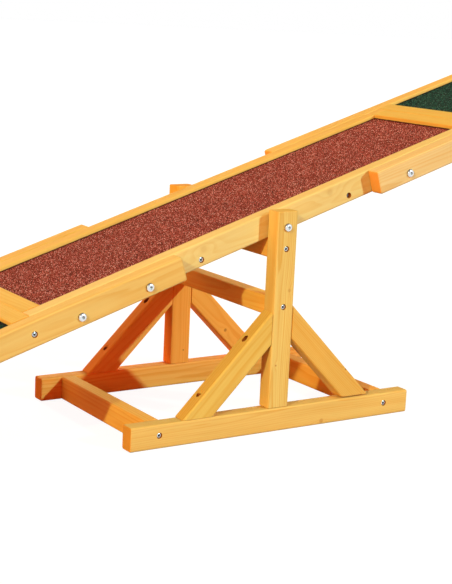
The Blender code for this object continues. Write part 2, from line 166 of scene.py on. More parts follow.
@dataclass(frozen=True)
class Graph:
    """A node tree with one way of adding a node."""
    tree: NodeTree
    owner: Optional[ID] = None

    @classmethod
    def of(cls, owner: ID) -> "Graph":
        """Starts the tree of a new material or world.

        Args:
            owner: the material or world.

        Returns:
            Its empty tree.
        """
        owner.use_nodes = True
        owner.node_tree.nodes.clear()
        return cls(owner.node_tree, owner)

    def end(self, kind: str, value: Signal) -> None:
        """Ends the tree in an output node."""
        self.tree.links.new(value.socket, self.tree.nodes.new(kind).inputs[0])

    def finish(self, values: Mapping[str, Any]) -> Material:
        """Ends a material in a Principled shader with these inputs."""
        self.end("ShaderNodeOutputMaterial", self.node("ShaderNodeBsdfPrincipled", {}, values))
        return self.owner

    def node(self, kind: str, settings: Mapping[str, Any] = {}, values: Mapping[Any, Any] = {},
             output: Union[int, str] = 0) -> Signal:
        """Adds a node.

        Args:
            kind: the node's type name.
            settings: its properties, or "stops" for the stops of a ramp, set before the values.
            values: for its inputs, by name or number, each a Signal or a plain value.
            output: the output to give back, by name or number.

        Returns:
            The chosen output.
        """
        made = self.tree.nodes.new(kind)
        for name, value in settings.items():
            if name == "stops":
                ramp = made.color_ramp
                while len(ramp.elements) < len(value):
                    ramp.elements.new(0.5)
                for element, (place, colour) in zip(ramp.elements, value):
                    element.position, element.color = place, (*colour, 1)
            else:
                setattr(made, name, value)
        for name, value in values.items():
            if isinstance(value, Signal):
                self.tree.links.new(value.socket, made.inputs[name])
            else:
                made.inputs[name].default_value = value
        return Signal(self, made.outputs[output])

    def maths(self, operation: str, *terms: Term) -> Signal:
        """Adds a Math node."""
        return self.node("ShaderNodeMath", {"operation": operation}, dict(enumerate(terms)))

    def vector(self, operation: str, *terms: Term, output: str = "Vector") -> Signal:
        """Adds a Vector Math node."""
        return self.node("ShaderNodeVectorMath", {"operation": operation},
                         dict(enumerate(terms)), output)

    def reach(self, run: Signal, rise: Signal) -> Signal:
        """Gives the length of a line by its run and rise."""
        return self.maths("SQRT", run * run + rise * rise)

    def place(self, output: str = "Object") -> Signal:
        """Gives the shaded point, or its normal, as the object has it."""
        return self.node("ShaderNodeTexCoord", output=output)

    def local(self, place: Matrix) -> Signal:
        """Gives the shaded point in a timber's own frame.

        Args:
            place: the timber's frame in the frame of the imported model.

        Returns:
            The point, in metres.
        """
        return self.node("ShaderNodeMapping", {"vector_type": "TEXTURE"},
                         {"Vector": self.place(), "Location": place.to_translation(),
                          "Rotation": place.to_euler()})

    def facing(self, axis: Sequence[float]) -> Signal:
        """Gives the cosine of the angle between the surface's normal and an axis."""
        return self.vector("DOT_PRODUCT", self.place("Normal"), tuple(axis), output="Value")

    def attribute(self, name: str) -> Signal:
        """Gives the mesh's own value of this name."""
        return self.node("ShaderNodeAttribute", {"attribute_name": name}, {}, "Fac")

    def noise(self, point: Signal, scale: Union[float, Point], shift: Point = (0, 0, 0),
              detail: float = 2.0, roughness: float = 0.5, output: str = "Fac") -> Signal:
        """Gives noise.

        Args:
            point: where it is read.
            scale: how many cells lie in a metre, one number or one along each axis.
            shift: how far the point is moved, in cells.
            detail: how many finer layers are laid over it.
            roughness: how strong they are.
            output: the output to give back.

        Returns:
            The noise.
        """
        cells = scale if isinstance(scale, tuple) else (scale, scale, scale)
        return self.node("ShaderNodeTexNoise", {}, {
            "Vector": self.vector("MULTIPLY_ADD", point, cells, shift), "Scale": 1.0,
            "Detail": detail, "Roughness": roughness}, output)

    def random(self, low: Term, high: Term, seed: Term) -> Signal:
        """Gives each item a random value.

        Args:
            low: the lower bound, a number or a vector.
            high: the upper bound, of the same kind.
            seed: what fixes the values.

        Returns:
            The value.
        """
        kind, first = ("FLOAT_VECTOR", 0) if isinstance(low, tuple) else ("FLOAT", 2)
        return self.node("FunctionNodeRandomValue", {"data_type": kind},
                         {first: low, first + 1: high, "Seed": seed}, first // 2)

    def mix(self, factor: Term, first: Term, second: Term, blend: str = "MIX") -> Signal:
        """Mixes two colours.

        Args:
            factor: how much of the second colour is used.
            first: the colour at a factor of 0.
            second: the colour at a factor of 1.
            blend: the way the second colour is laid over the first.

        Returns:
            The mixed colour.
        """
        first, second = [(*term, 1) if isinstance(term, tuple) else term
                         for term in (first, second)]
        return self.node("ShaderNodeMix", {"data_type": "RGBA", "blend_type": blend},
                         {0: factor, 6: first, 7: second}, 2)

    def tinted(self, base: Signal, tint: Term) -> Signal:
        """Multiplies a colour by another colour or by a level."""
        return self.mix(1.0, base, tint, "MULTIPLY")

    def bump(self, height: Signal, distance: float, strength: float = 0.5) -> Signal:
        """Turns a height into a normal."""
        return self.node("ShaderNodeBump", {}, {"Strength": strength, "Distance": distance,
                                                "Height": height})


# Finishes

@dataclass(frozen=True)
class Knot:
    """A branch that was sawn through, in its timber's frame."""
    along: float
    across: float
    radius: float
    face: Face
    depth: float


@dataclass(frozen=True)
class Cut:
    """How one timber was sawn from its log, and its colour, which is partly its own tone and partly
    painted light and shade.
    """
    pith: tuple[float, float]
    slope: tuple[float, float] = (0.0, 0.0)
    ring: float = 0.0030
    # tint and end_tint hold the timber's own tone together with painted light and shade
    tint: Point = (1.0, 1.0, 1.0)
    end_tint: Point = (1.0, 1.0, 1.0)
    contrast: float = 1.0
    knots: tuple[Knot, ...] = ()
    seed: float = 0.0

    @classmethod
    def sawn(cls, name: str) -> "Cut":
        """Picks a cut by a timber's name, with what is known of it from the photograph.

        Args:
            name: the timber's name, which fixes what is picked.

        Returns:
            The cut.
        """
        pick = random.Random(name)
        side, warmth = pick.choice((-1, 1)), pick.uniform(-1, 1)
        values = {
            "pith": (side * pick.uniform(0.016, 0.050), pick.uniform(-0.022, 0.022)),
            "slope": (pick.uniform(-0.03, 0.03), pick.uniform(-0.03, 0.03)),
            "ring": pick.uniform(0.0024, 0.0036),
            "tint": (1.0, 1 - warmth * 0.025, 1 - warmth * 0.07),
            "contrast": pick.uniform(0.7, 1.2), "seed": pick.uniform(0, 40)}
        return cls(**{**values, **KNOWN_CUTS.get(name, {})})


# The tints and end tints here are partly each timber's own tone and partly painted light and shade:
# paler and bluer on the front timbers that face the key lamp, deeper orange on the rear ones that
# stand in shade.
KNOWN_CUTS: dict[str, dict[str, Any]] = {
    "rail_front": {"knots": (Knot(0.0772, -0.0115, 0.0028, Face.SIDE, 0.35),), "contrast": 1.2,
                   "tint": (0.88, 1.0, 1.17), "end_tint": (1.0, 0.94, 0.8)},
    "rail_rear": {"tint": (1.12, 0.91, 0.74), "end_tint": (0.96, 0.78, 0.65),
                  "contrast": 2.0, "ring": 0.0042},
    "post_front": {"knots": (Knot(-0.0769, 0.0078, 0.0011, Face.SIDE, 0.6),
                             Knot(0.0282, -0.0085, 0.0022, Face.SIDE, 0.25)), "contrast": 1.7,
                   "tint": (0.88, 1.07, 1.28), "end_tint": (1.0, 1.3, 1.9)},
    "post_rear": {"knots": (Knot(-0.1177, -0.0057, 0.0009, Face.SIDE, 0.9),),
                  "tint": (1.12, 0.81, 0.54), "contrast": 1.2},
    "cross_rail_left": {"tint": (1.08, 1.02, 0.86), "contrast": 1.3},
    "cross_rail_right": {"knots": (Knot(-0.1115, 0.0112, 0.0018, Face.TOP, 0.8),),
                         "tint": (1.10, 0.91, 0.72), "contrast": 1.2},
    "mid_bar": {"tint": (1.10, 1.07, 0.88), "contrast": 1.2},
    "top_bar": {"tint": (1.12, 1.04, 0.90), "contrast": 1.2},
    "brace_front_left": {"tint": (0.86, 0.99, 0.92), "contrast": 1.1},
    "brace_front_right": {"knots": (Knot(0.0408, 0.0152, 0.0012, Face.SIDE, 0.9),),
                          "tint": (0.86, 0.88, 0.80), "contrast": 1.1},
    "brace_rear_left": {"tint": (1.05, 0.82, 0.66)},
    "brace_rear_right": {"knots": (Knot(0.0136, -0.0047, 0.0020, Face.SIDE, 0.7),),
                         "tint": (1.10, 0.87, 0.60)},
    "beam_front": {"knots": (Knot(0.0967, 0.0085, 0.0042, Face.SIDE, 0.12),
                             Knot(-0.1205, 0.0060, 0.0040, Face.SIDE, 0.08)),
                   "tint": (0.90, 1.17, 1.80), "contrast": 0.8},
    "beam_rear": {"tint": (0.87, 0.94, 0.93), "contrast": 0.8},
    "end_rail_front_left": {"tint": (0.88, 1.03, 1.30), "contrast": 1.0},
    "end_rail_front_right": {"tint": (0.89, 1.12, 2.0), "end_tint": (1.0, 0.92, 0.85),
                             "contrast": 1.1},
    "end_rail_rear_left": {"tint": (0.86, 0.90, 0.82), "contrast": 0.9},
    "end_rail_rear_right": {"tint": (0.88, 0.97, 1.05), "contrast": 0.9},
    "inner_member_left": {"tint": (0.84, 0.95, 0.84)},
    "inner_member_right": {"tint": (0.83, 0.97, 0.84)},
    "centre_end_member_left": {"tint": (0.84, 0.95, 0.84)},
    "centre_end_member_right": {"tint": (0.83, 0.97, 0.84)}}


@dataclass(frozen=True)
class PineFinish:
    """Planed pine under a honey glaze."""
    early: Point = (0.885, 0.585, 0.165)
    late: Point = (0.765, 0.350, 0.045)
    knot_rim: Point = (0.34, 0.115, 0.022)
    knot_heart: Point = (0.50, 0.21, 0.050)
    end: Point = (0.77, 0.385, 0.070)
    # painted shade: the dark brown laid in the screw bores, darker the deeper it lies
    bore: Point = (0.28, 0.080, 0.018)
    roughness: float = 0.56
    drift: float = 0.016

    def material(self, name: str, place: Matrix, cut: Cut) -> Material:
        """Makes the pine of one timber.

        Args:
            name: the material's name.
            place: the timber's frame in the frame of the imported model.
            cut: how the timber was sawn.

        Returns:
            The material.
        """
        graph = Graph.of(bpy.data.materials.new(name))
        point = graph.local(place)
        x, y, z = (point.part(axis) for axis in "XYZ")
        sway = graph.vector("SUBTRACT", graph.noise(point, (2.6, 14, 14), (cut.seed, 0, 0),
                                                    output="Color"), (0.5, 0.5, 0.5))
        reach = graph.reach(y + x * cut.slope[0] + sway.part("X") * self.drift + cut.pith[0],
                            z + x * cut.slope[1] + sway.part("Y") * self.drift + cut.pith[1])
        marks: list[tuple[Signal, Signal]] = []
        for knot in cut.knots:
            run = x - knot.along
            rise = (z if knot.face is Face.SIDE else y) - knot.across
            spread = (graph.reach(run * 0.42, rise) / (knot.radius * 2.4)) ** 2 * -1
            reach = reach + graph.maths("EXPONENT", spread) * knot.radius * 1.6
            ragged = graph.reach(run, rise) + (graph.noise(point, 420) - 0.5) * knot.radius * 0.5
            marks.append(((1 - ragged.step(knot.radius * 0.9, knot.radius * 1.7)) * knot.depth,
                          (1 - ragged.step(knot.radius * 0.75, knot.radius * 1.05)) * knot.depth))
        rings = reach / cut.ring + graph.noise(point, (9, 90, 90), (0, cut.seed, 0), 3.0) * 0.9
        phase = graph.maths("FRACT", rings)
        year = graph.node("ShaderNodeTexWhiteNoise", {"noise_dimensions": "1D"},
                          {"W": graph.maths("FLOOR", rings) + cut.seed}, "Value")
        late = phase.step(0.35, 0.88) * (1 - phase.step(0.92, 1.0)) * (0.45 + year * 0.55)
        fibre = graph.noise(point, (26, 900, 900), (0, 0, 0), 3.0, 0.65)
        streak = graph.noise(point, (5, 150, 150), (0, 0, cut.seed), 3.0, 0.6)
        cloud = graph.noise(point, (7, 30, 30), (cut.seed, 3, 0))
        axis = place.to_3x3() @ Vector((1, 0, 0))
        sawn_end = graph.maths("ABSOLUTE", graph.facing(axis)).step(0.62, 0.80)
        grain = (late * 0.34 + (streak - 0.5) * 0.75 + (fibre - 0.5) * 0.25) * cut.contrast
        base = graph.mix(graph.maths("MAXIMUM", grain + 0.12, 0.0), self.early, self.late)
        # The timber's tint: its own tone with painted light and shade.
        base = graph.tinted(base, cut.tint)
        base = graph.tinted(base, (cloud - 0.5) * 0.16 + (fibre - 0.5) * 0.08 + 1.0)
        ends = graph.tinted(graph.mix(late * 0.6, self.end, self.late), cut.end_tint)
        base = graph.mix(sawn_end * 0.85, base, ends)
        for rim, heart in marks:
            base = graph.mix(rim * 0.8, base, self.knot_rim)
            base = graph.mix(heart * 0.75, base, self.knot_heart)
        # Painted shade in the screw bores, by the recess value of each face.
        base = graph.mix(graph.attribute("recess") * 0.9, base, self.bore)
        relief = late * 0.3 + fibre * 0.5 + streak * 0.2
        rough = self.roughness + (fibre - 0.5) * 0.16 + sawn_end * 0.2 - late * 0.06
        return graph.finish({"Base Color": base, "Roughness": rough, "Specular IOR Level": 0.02,
                             "Normal": graph.bump(relief, 0.0002)})


@dataclass(frozen=True)
class PlywoodFinish:
    """Thin plywood: rotary-cut veneers whose plies show along the edges."""
    veneer: Point = (0.66, 0.45, 0.22)
    figure: Point = (0.48, 0.27, 0.10)
    ply: float = 0.0012

    def material(self, name: str, place: Matrix) -> Material:
        """Makes the plywood of one board.

        Args:
            name: the material's name.
            place: the board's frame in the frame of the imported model.

        Returns:
            The material.
        """
        graph = Graph.of(bpy.data.materials.new(name))
        point = graph.local(place)
        lines = graph.maths("FRACT", graph.noise(point, (3, 16, 0), (0, 0, 0), 3.0, 0.6) * 9.0)
        figure = lines.step(0.3, 0.9) * (1 - lines.step(0.92, 1.0))
        pores = graph.noise(point, (40, 1400, 1400), (0, 0, 0), 3.0, 0.7)
        level = graph.maths("ABSOLUTE", graph.facing(place.to_3x3() @ Vector((0, 0, 1))))
        layer = graph.maths("FRACT", point.part("Z") / (2 * self.ply) + 0.5)
        layer = layer.step(0.46, 0.54) * (1 - layer.step(0.94, 1.0))
        face = graph.mix(figure * 0.35 + (pores - 0.5) * 0.5, self.veneer, self.figure)
        plies = graph.mix(layer, self.veneer, self.figure)
        return graph.finish({
            "Base Color": graph.mix(1 - level.step(0.5, 0.8), face, plies),
            "Roughness": 0.66 + (pores - 0.5) * 0.2, "Specular IOR Level": 0.2,
            "Normal": graph.bump(pores + figure * 0.3, 0.0003)})


@dataclass(frozen=True)
class MineralFinish:
    """Crushed mineral granules bonded to a felt mat."""
    name: str
    dark: Point
    middle: Point
    pale: Point
    binder: Point
    # painted shadow: the near-black of the mat's sloped edge and sides
    rim: Point

    def grit(self) -> Material:
        """Makes the granules' material, coloured grain by grain.

        Returns:
            The material.
        """
        graph = Graph.of(bpy.data.materials.new(self.name + "_granules"))
        base = graph.node("ShaderNodeValToRGB", {
            "stops": ((0.0, self.dark), (0.22, self.dark), (0.42, self.middle),
                      (0.72, self.middle), (1.0, self.pale))},
            {0: graph.attribute("grain_tone")}, "Color")
        speck = graph.noise(graph.place(), 1500)
        base = graph.tinted(base, 0.78 + graph.noise(graph.place(), 11) * 0.12 + speck * 0.32)
        return graph.finish({"Base Color": base, "Roughness": 0.80 + speck * 0.15,
                             "Specular IOR Level": 0.25, "Normal": graph.bump(speck, 0.0002)})

    def felt(self) -> Material:
        """Makes the mat's own material, which shows between the granules and at its edges, where it
        is painted near-black as a shadow.

        Returns:
            The material.
        """
        graph = Graph.of(bpy.data.materials.new(self.name + "_felt"))
        dust = graph.noise(graph.place(), 700, (0, 0, 0), 4.0, 0.7)
        level = graph.facing(Body.WALKWAY.place.to_3x3() @ Vector((0, 0, 1)))
        base = graph.mix(dust.step(0.48, 0.70) * 0.5, self.binder, self.dark)
        return graph.finish({
            # Painted shadow: every face at the mat's edge that leans off the walkway's up takes the
            # near-black rim colour.
            "Base Color": graph.mix(level.step(0.975, 0.995), self.rim, base),
            "Roughness": 0.92, "Specular IOR Level": 0.2,
            "Normal": graph.bump(dust, 0.0005, 0.8)})


@dataclass(frozen=True)
class ZincFinish:
    """Bright zinc plating on steel."""
    clean: Point = (0.74, 0.76, 0.80)
    dull: Point = (0.52, 0.55, 0.60)
    # grime and painted shade: the near-black laid in the sockets, deeper towards their floor
    grime: Point = (0.035, 0.035, 0.040)
    # painted shade: a darker grey laid on the side of the plating that faces up and towards -X
    shade: Point = (0.16, 0.16, 0.17)
    shaded_way: Point = (-0.62, 0.0, 0.78)

    def material(self, name: str) -> Material:
        """Makes the plating, with painted shade on the side that faces up and towards -X, and grime
        with painted shade in the sockets.

        Args:
            name: the material's name.

        Returns:
            The material.
        """
        graph = Graph.of(bpy.data.materials.new(name))
        point = graph.place()
        scratch = graph.noise(point, (300, 2600, 2600), (0, 0, 0), 2.0, 0.6)
        stain = graph.noise(point, 520, (0, 0, 0), 3.0, 0.6).step(0.45, 0.72)
        recess = graph.attribute("recess")
        plate = graph.mix(stain * 0.6, self.clean, self.dull)
        # Painted shade: the plating darkens where its normal faces up and towards -X.
        plate = graph.mix(graph.facing(self.shaded_way).step(0.35, 0.75) * 0.8, plate, self.shade)
        return graph.finish({
            # The sockets take grime and painted shade, by the recess value that each fastener's mesh
            # carries.
            "Base Color": graph.mix(recess, plate, self.grime), "Metallic": 1.0 - recess * 0.6,
            "Roughness": 0.24 + stain * 0.16 + (scratch - 0.5) * 0.12 + recess * 0.3,
            "Normal": graph.bump(scratch, 0.00004, 0.4)})


PINE = PineFinish()
PLYWOOD = PlywoodFinish()
# The rim colours are painted shadow for the mats' edges.
RED = MineralFinish("red_mat", dark=(0.235, 0.031, 0.028), middle=(0.455, 0.111, 0.098),
                    pale=(0.72, 0.37, 0.34), binder=(0.07, 0.013, 0.011),
                    rim=(0.055, 0.014, 0.009))
GREEN = MineralFinish("green_mat", dark=(0.0, 0.013, 0.009), middle=(0.002, 0.064, 0.042),
                      pale=(0.060, 0.17, 0.125), binder=(0.0, 0.006, 0.004),
                      rim=(0.001, 0.004, 0.003))


@cache
def plating() -> Material:
    """Makes the plating, which all fasteners share."""
    return ZincFinish().material("zinc_plating")


# Meshes

def stood(name: str, data: ID) -> Object:
    """Makes an object in the scene.

    Args:
        name: its name.
        data: its mesh, lamp or camera.

    Returns:
        The object.
    """
    made = bpy.data.objects.new(name, data)
    bpy.context.scene.collection.objects.link(made)
    return made


def scrap(spare: Object) -> None:
    """Removes an object and its mesh.

    Args:
        spare: the object.
    """
    mesh = spare.data
    bpy.data.objects.remove(spare)
    bpy.data.meshes.remove(mesh)


def place_piece(name: str, mesh: Mesh, body: Body, slot: Slot, nodes: list[str],
                material: Optional[Material] = None) -> None:
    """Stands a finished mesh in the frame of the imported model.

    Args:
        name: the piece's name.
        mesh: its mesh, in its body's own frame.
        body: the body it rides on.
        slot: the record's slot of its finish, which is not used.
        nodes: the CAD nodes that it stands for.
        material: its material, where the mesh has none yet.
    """
    mesh.transform(body.place)
    mesh.name = name
    if material:
        mesh.materials.clear()
        mesh.materials.append(material)
    piece = stood(name, mesh)
    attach(piece, body.value)
    if nodes:
        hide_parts(*nodes)
    LOG.info("%s: %d faces", name, len(mesh.polygons))


def baked(mesh: Mesh, kind: str, settings: Mapping[str, Any]) -> Mesh:
    """Applies a modifier to a mesh.

    Args:
        mesh: what the modifier starts from.
        kind: the modifier's type.
        settings: its properties, and after them the inputs of its node tree.

    Returns:
        The result, as a plain mesh.
    """
    holder = stood("bench", mesh)
    modifier = holder.modifiers.new("step", kind)
    for name, value in settings.items():
        if hasattr(modifier, name):
            setattr(modifier, name, value)
        else:
            modifier[name] = value
    graph = bpy.context.evaluated_depsgraph_get()
    result = bpy.data.meshes.new_from_object(holder.evaluated_get(graph))
    scrap(holder)
    return result


def soften(mesh: Mesh) -> Mesh:
    """Shades a mesh smooth, with flat faces kept flat and its folds kept sharp.

    Args:
        mesh: what is shaded.

    Returns:
        The result, as a plain mesh.
    """
    mesh.shade_smooth()
    mesh.set_sharp_from_angle(angle=math.radians(SHARP_ANGLE))
    return baked(mesh, "WEIGHTED_NORMAL", {"mode": "FACE_AREA", "weight": 100,
                                           "keep_sharp": True})


def mesh_of(bm: BMesh, name: str) -> Mesh:
    """Turns a bmesh into a mesh whose faces point outwards.

    Args:
        bm: the bmesh, which is freed.
        name: the mesh's name.

    Returns:
        The mesh.
    """
    bmesh.ops.recalc_face_normals(bm, faces=bm.faces[:])
    mesh = bpy.data.meshes.new(name)
    bm.to_mesh(mesh)
    bm.free()
    return mesh


def ring(bm: BMesh, height: float, radius: float, hexagonal: float = 0.0,
         sides: int = 36, place: Matrix = Matrix.Identity(4)) -> Loop:
    """Adds a ring of points.

    Args:
        bm: the mesh that takes them.
        height: the ring's height.
        radius: its radius, over the corners where it is a hexagon.
        hexagonal: 1 for a hexagon, 0 for a circle.
        sides: how many points it has.
        place: the frame that it lies in.

    Returns:
        The ring's points.
    """
    loop = []
    for index in range(sides):
        angle = 2 * math.pi * index / sides
        flat = math.cos(math.pi / 6) / math.cos(angle % (math.pi / 3) - math.pi / 6)
        reach = radius * (1 + (flat - 1) * hexagonal)
        spot = Vector((reach * math.cos(angle), reach * math.sin(angle), height))
        loop.append(bm.verts.new(place @ spot))
    return loop


def walls(bm: BMesh, loops: Sequence[Loop], capped: bool = False) -> None:
    """Joins each loop of points to the next by faces.

    Args:
        bm: the mesh that takes them.
        loops: the loops, alike in their number of points.
        capped: True to close the first and last loop too.
    """
    if capped:
        bm.faces.new(loops[0])
        bm.faces.new(loops[-1][::-1])
    for first, second in zip(loops, loops[1:]):
        for index in range(len(first)):
            after = (index + 1) % len(first)
            bm.faces.new((first[index], second[index], second[after], first[after]))


@dataclass(frozen=True)
class Profile:
    """A timber's cross-section: corners in its Y and Z, anticlockwise, each with a rounding."""
    corners: tuple[Point, ...]
    segments: int = 5
    least_rounding: float = 0.0003

    @classmethod
    def bar(cls, width: float, height: float, arris: float) -> "Profile":
        """Gives a rectangle with four rounded arrises.

        Args:
            width: its size along Y.
            height: its size along Z.
            arris: the arrises' rounding.

        Returns:
            The profile.
        """
        half, rise = width / 2, height / 2
        return cls(((-half, -rise, arris), (half, -rise, arris), (half, rise, arris),
                    (-half, rise, arris)))

    def outline(self, inset: float) -> list[tuple[float, float]]:
        """Gives the rounded outline.

        Args:
            inset: how far the outline is drawn in.

        Returns:
            The outline's points.
        """
        points: list[tuple[float, float]] = []
        for index, (y, z, radius) in enumerate(self.corners):
            before = self.corners[index - 1]
            after = self.corners[(index + 1) % len(self.corners)]
            back = Vector((before[0] - y, before[1] - z)).normalized()
            ahead = Vector((after[0] - y, after[1] - z)).normalized()
            hollow = back.x * ahead.y - back.y * ahead.x > 0
            corner = Vector((y, z)) + (back + ahead) * (-inset if hollow else inset)
            rounding = max(radius - inset * 0.5, self.least_rounding)
            centre = corner + (back + ahead) * rounding
            for step in range(self.segments + 1):
                angle = math.pi / 2 * step / self.segments
                spot = centre - (ahead * math.cos(angle) + back * math.sin(angle)) * rounding
                points.append((spot.x, spot.y))
        return points


@dataclass
class Seat:
    """Where a fastener goes: a point on the timber's face, the way out of it, and its depth."""
    point: Point
    outward: Point
    length: float
    sunk: float = 0.0
    node: str = ""

    @classmethod
    def on(cls, side: Side, spot: Point, *depth: Any) -> "Seat":
        """Gives a seat on the front or rear, at the point that the rear's would have."""
        x, y, z = spot
        return cls((x, side.value * y, z), (0, side.value, 0), *depth)

    @property
    def matrix(self) -> Matrix:
        """Gives the frame that stands on the timber's face, Z pointing out."""
        turn = Vector(self.outward).to_track_quat("Z", "Y").to_matrix().to_4x4()
        return Matrix.Translation(self.point) @ turn


@dataclass(frozen=True)
class Fastener:
    """A turned and socketed fastener, its head standing from z = 0 upwards."""
    name: str
    head_radius: float
    head_height: float
    shank_radius: float
    socket_radius: float
    socket_depth: float
    domed: bool
    # how strongly the socket is darkened with grime and painted shade
    grime: float = 1.0
    pitch: float = 0.0008
    thread_root: float = 0.84
    fillet: float = 0.0004
    tip: float = 0.0006
    dome_angle: float = 84.0
    grime_gain: float = 1.6
    head_play: float = 0.0005
    shank_play: float = 0.00035
    floor_play: float = 0.0002
    mouth: float = 0.0004
    mouth_depth: float = 0.0007
    overrun: float = 0.012
    bore_sides: int = 28

    def head_stations(self) -> list[Point]:
        """Lists the head's rings from the socket's floor to the underside of the head.

        Returns:
            Each ring's height, its radius and how hexagonal it is.
        """
        top, wide = self.head_height, self.head_radius
        floor = top - self.socket_depth
        socket = self.socket_radius
        stations = [(floor - socket * 0.30, socket * 0.12, 0.0), (floor, socket * 0.86, 0.9),
                    (floor + socket * 0.02, socket, 1.0), (top - socket * 0.16, socket, 1.0),
                    (top - socket * 0.02, socket * 1.12, 0.55)]
        if self.domed:
            flat = socket * 1.28
            edge = math.sin(math.radians(self.dome_angle))
            stations.append((top, flat, 0.15))
            for step in range(1, 8):
                angle = math.radians(self.dome_angle / 7 * step)
                stations.append((top - (top - 0.0006) * (1 - math.cos(angle)),
                                 flat + (wide - flat) * math.sin(angle) / edge, 0.0))
            return stations + [(0.0004, wide, 0.0), (0.0, wide - 0.0003, 0.0)]
        return stations + [(top, socket * 1.25, 0.1), (top, wide - 0.0009, 0.0),
                           (top - 0.00012, wide - 0.0005, 0.0),
                           (top - 0.00045, wide - 0.00013, 0.0),
                           (top - 0.0009, wide, 0.0), (0.0004, wide, 0.0),
                           (0.0, wide - 0.0004, 0.0)]

    def solid(self, length: float, threaded: float) -> Mesh:
        """Makes the fastener.

        Args:
            length: of the shank.
            threaded: how much of the shank's tip shows a thread.

        Returns:
            The fastener's mesh.
        """
        bm = bmesh.new()
        shank = self.shank_radius
        stations = [*self.head_stations(), (0.0, shank + self.fillet, 0.0),
                    (-self.fillet, shank, 0.0)]
        for turn in range(int(threaded / self.pitch)):
            base = threaded - length - turn * self.pitch
            stations += [(base, shank, 0.0),
                         (base - self.pitch * 0.5, shank * self.thread_root, 0.0)]
        stations += [(self.tip - length, shank * 0.94, 0.0), (-length, shank * 0.66, 0.0)]
        walls(bm, [ring(bm, *station) for station in stations], True)
        mesh = soften(mesh_of(bm, self.name))
        # Recess: the socket walls, from 0 at the top to 1 towards the floor, where grime and painted
        # shade are laid.
        recess = mesh.attributes.new("recess", "FLOAT", "POINT")
        for item, vert in zip(recess.data, mesh.vertices):
            wall = math.hypot(vert.co.x, vert.co.y) <= self.socket_radius * 1.02
            depth = (self.head_height - vert.co.z) / self.socket_depth
            if wall and vert.co.z > 0:
                item.value = min(max(depth * self.grime_gain, 0.0), 1.0) * self.grime
        return mesh

    def bore(self, mesh: Mesh, seats: Sequence[Seat]) -> Mesh:
        """Cuts this fastener's bores into a timber.

        Args:
            mesh: the timber, in its body's own frame.
            seats: the fasteners' seats.

        Returns:
            The timber with its bores.
        """
        bm = bmesh.new()
        head, shank = self.head_radius + self.head_play, self.shank_radius + self.shank_play
        for seat in seats:
            floor = -seat.sunk - self.head_height - self.floor_play
            if seat.sunk > 0:
                stations = [(self.overrun, head + self.mouth), (0.0, head + self.mouth),
                            (-self.mouth_depth, head), (floor, head), (floor, shank)]
            else:
                stations = [(self.overrun, shank), (0.0, shank)]
            stations.append((-seat.length - abs(floor) * (seat.sunk > 0) - GAP, shank))
            walls(bm, [ring(bm, *station, sides=self.bore_sides, place=seat.matrix)
                       for station in stations], True)
        cutter = stood("cutter", mesh_of(bm, "cutter"))
        result = baked(mesh, "BOOLEAN", {"operation": "DIFFERENCE", "solver": "EXACT",
                                         "object": cutter})
        scrap(cutter)
        return result

    def stand(self, name: str, seats: Sequence[Seat], body: Body, seed: int,
              threaded: float = 0.0) -> None:
        """Makes one piece of this kind of fastener.

        Args:
            name: the piece's name.
            seats: the fasteners' seats, in their body's own frame.
            body: the body they ride on.
            seed: for the way that each is turned.
            threaded: how much of the shank's tip shows a thread.
        """
        master = stood("master", self.solid(seats[0].length, threaded))
        points = bpy.data.meshes.new("seats")
        lifts = [-seat.sunk - self.head_height if seat.sunk else GAP for seat in seats]
        points.from_pydata([Vector(seat.point) + Vector(seat.outward) * lift
                            for seat, lift in zip(seats, lifts)], [], [])
        facing = points.attributes.new("facing", "FLOAT_VECTOR", "POINT")
        for item, seat in zip(facing.data, seats):
            item.vector = seat.outward
        mesh = fastener_recipe().run(points, {"Fastener": master, "Turn Seed": seed,
                                              "Finish": plating()})
        scrap(master)
        place_piece(name, mesh, body, Slot.ZINC, [seat.node for seat in seats if seat.node])


SCREW = Fastener("screw", 0.0033, 0.0040, 0.0020, 0.0019, 0.0024, False)
BOLT = Fastener("bolt", 0.0058, 0.0036, 0.0030, 0.0021, 0.0016, True, 0.6)


@dataclass(frozen=True)
class Ring:
    """A nut or a spacer round a bolt."""
    outer: float
    height: float
    hexagonal: bool
    inner: float = BOLT.shank_radius + GAP
    ease: float = 0.0003

    def stand(self, name: str, seats: Sequence[Seat], start: float, body: Body,
              nodes: list[str]) -> None:
        """Makes one piece of these rings.

        Args:
            name: the piece's name.
            seats: the bolts' seats.
            start: how far below the bolts' faces they begin.
            body: the body they ride on.
            nodes: the CAD nodes that they stand for.
        """
        bm = bmesh.new()
        flat, narrow, bevel = (1.0, 0.11, 0.14) if self.hexagonal else (0.0, 0.05, 0.08)
        edge, bevel = self.outer - self.outer * narrow, self.height * bevel
        low = -self.height
        rows = [(0.0, self.inner + self.ease, 0.0), (0.0, edge, 0.0),
                (-bevel, self.outer, flat), (low + bevel, self.outer, flat),
                (low, edge, 0.0), (low, self.inner + self.ease, 0.0),
                (low + self.ease, self.inner, 0.0), (-self.ease, self.inner, 0.0)]
        for seat in seats:
            made = bmesh.new()
            loops = [ring(made, station - start, radius, turn)
                     for station, radius, turn in rows]
            walls(made, loops + loops[:1])
            made.transform(seat.matrix)
            spare = mesh_of(made, "ring")
            bm.from_mesh(spare)
            bpy.data.meshes.remove(spare)
        place_piece(name, soften(mesh_of(bm, name)), body, Slot.ZINC, nodes, plating())


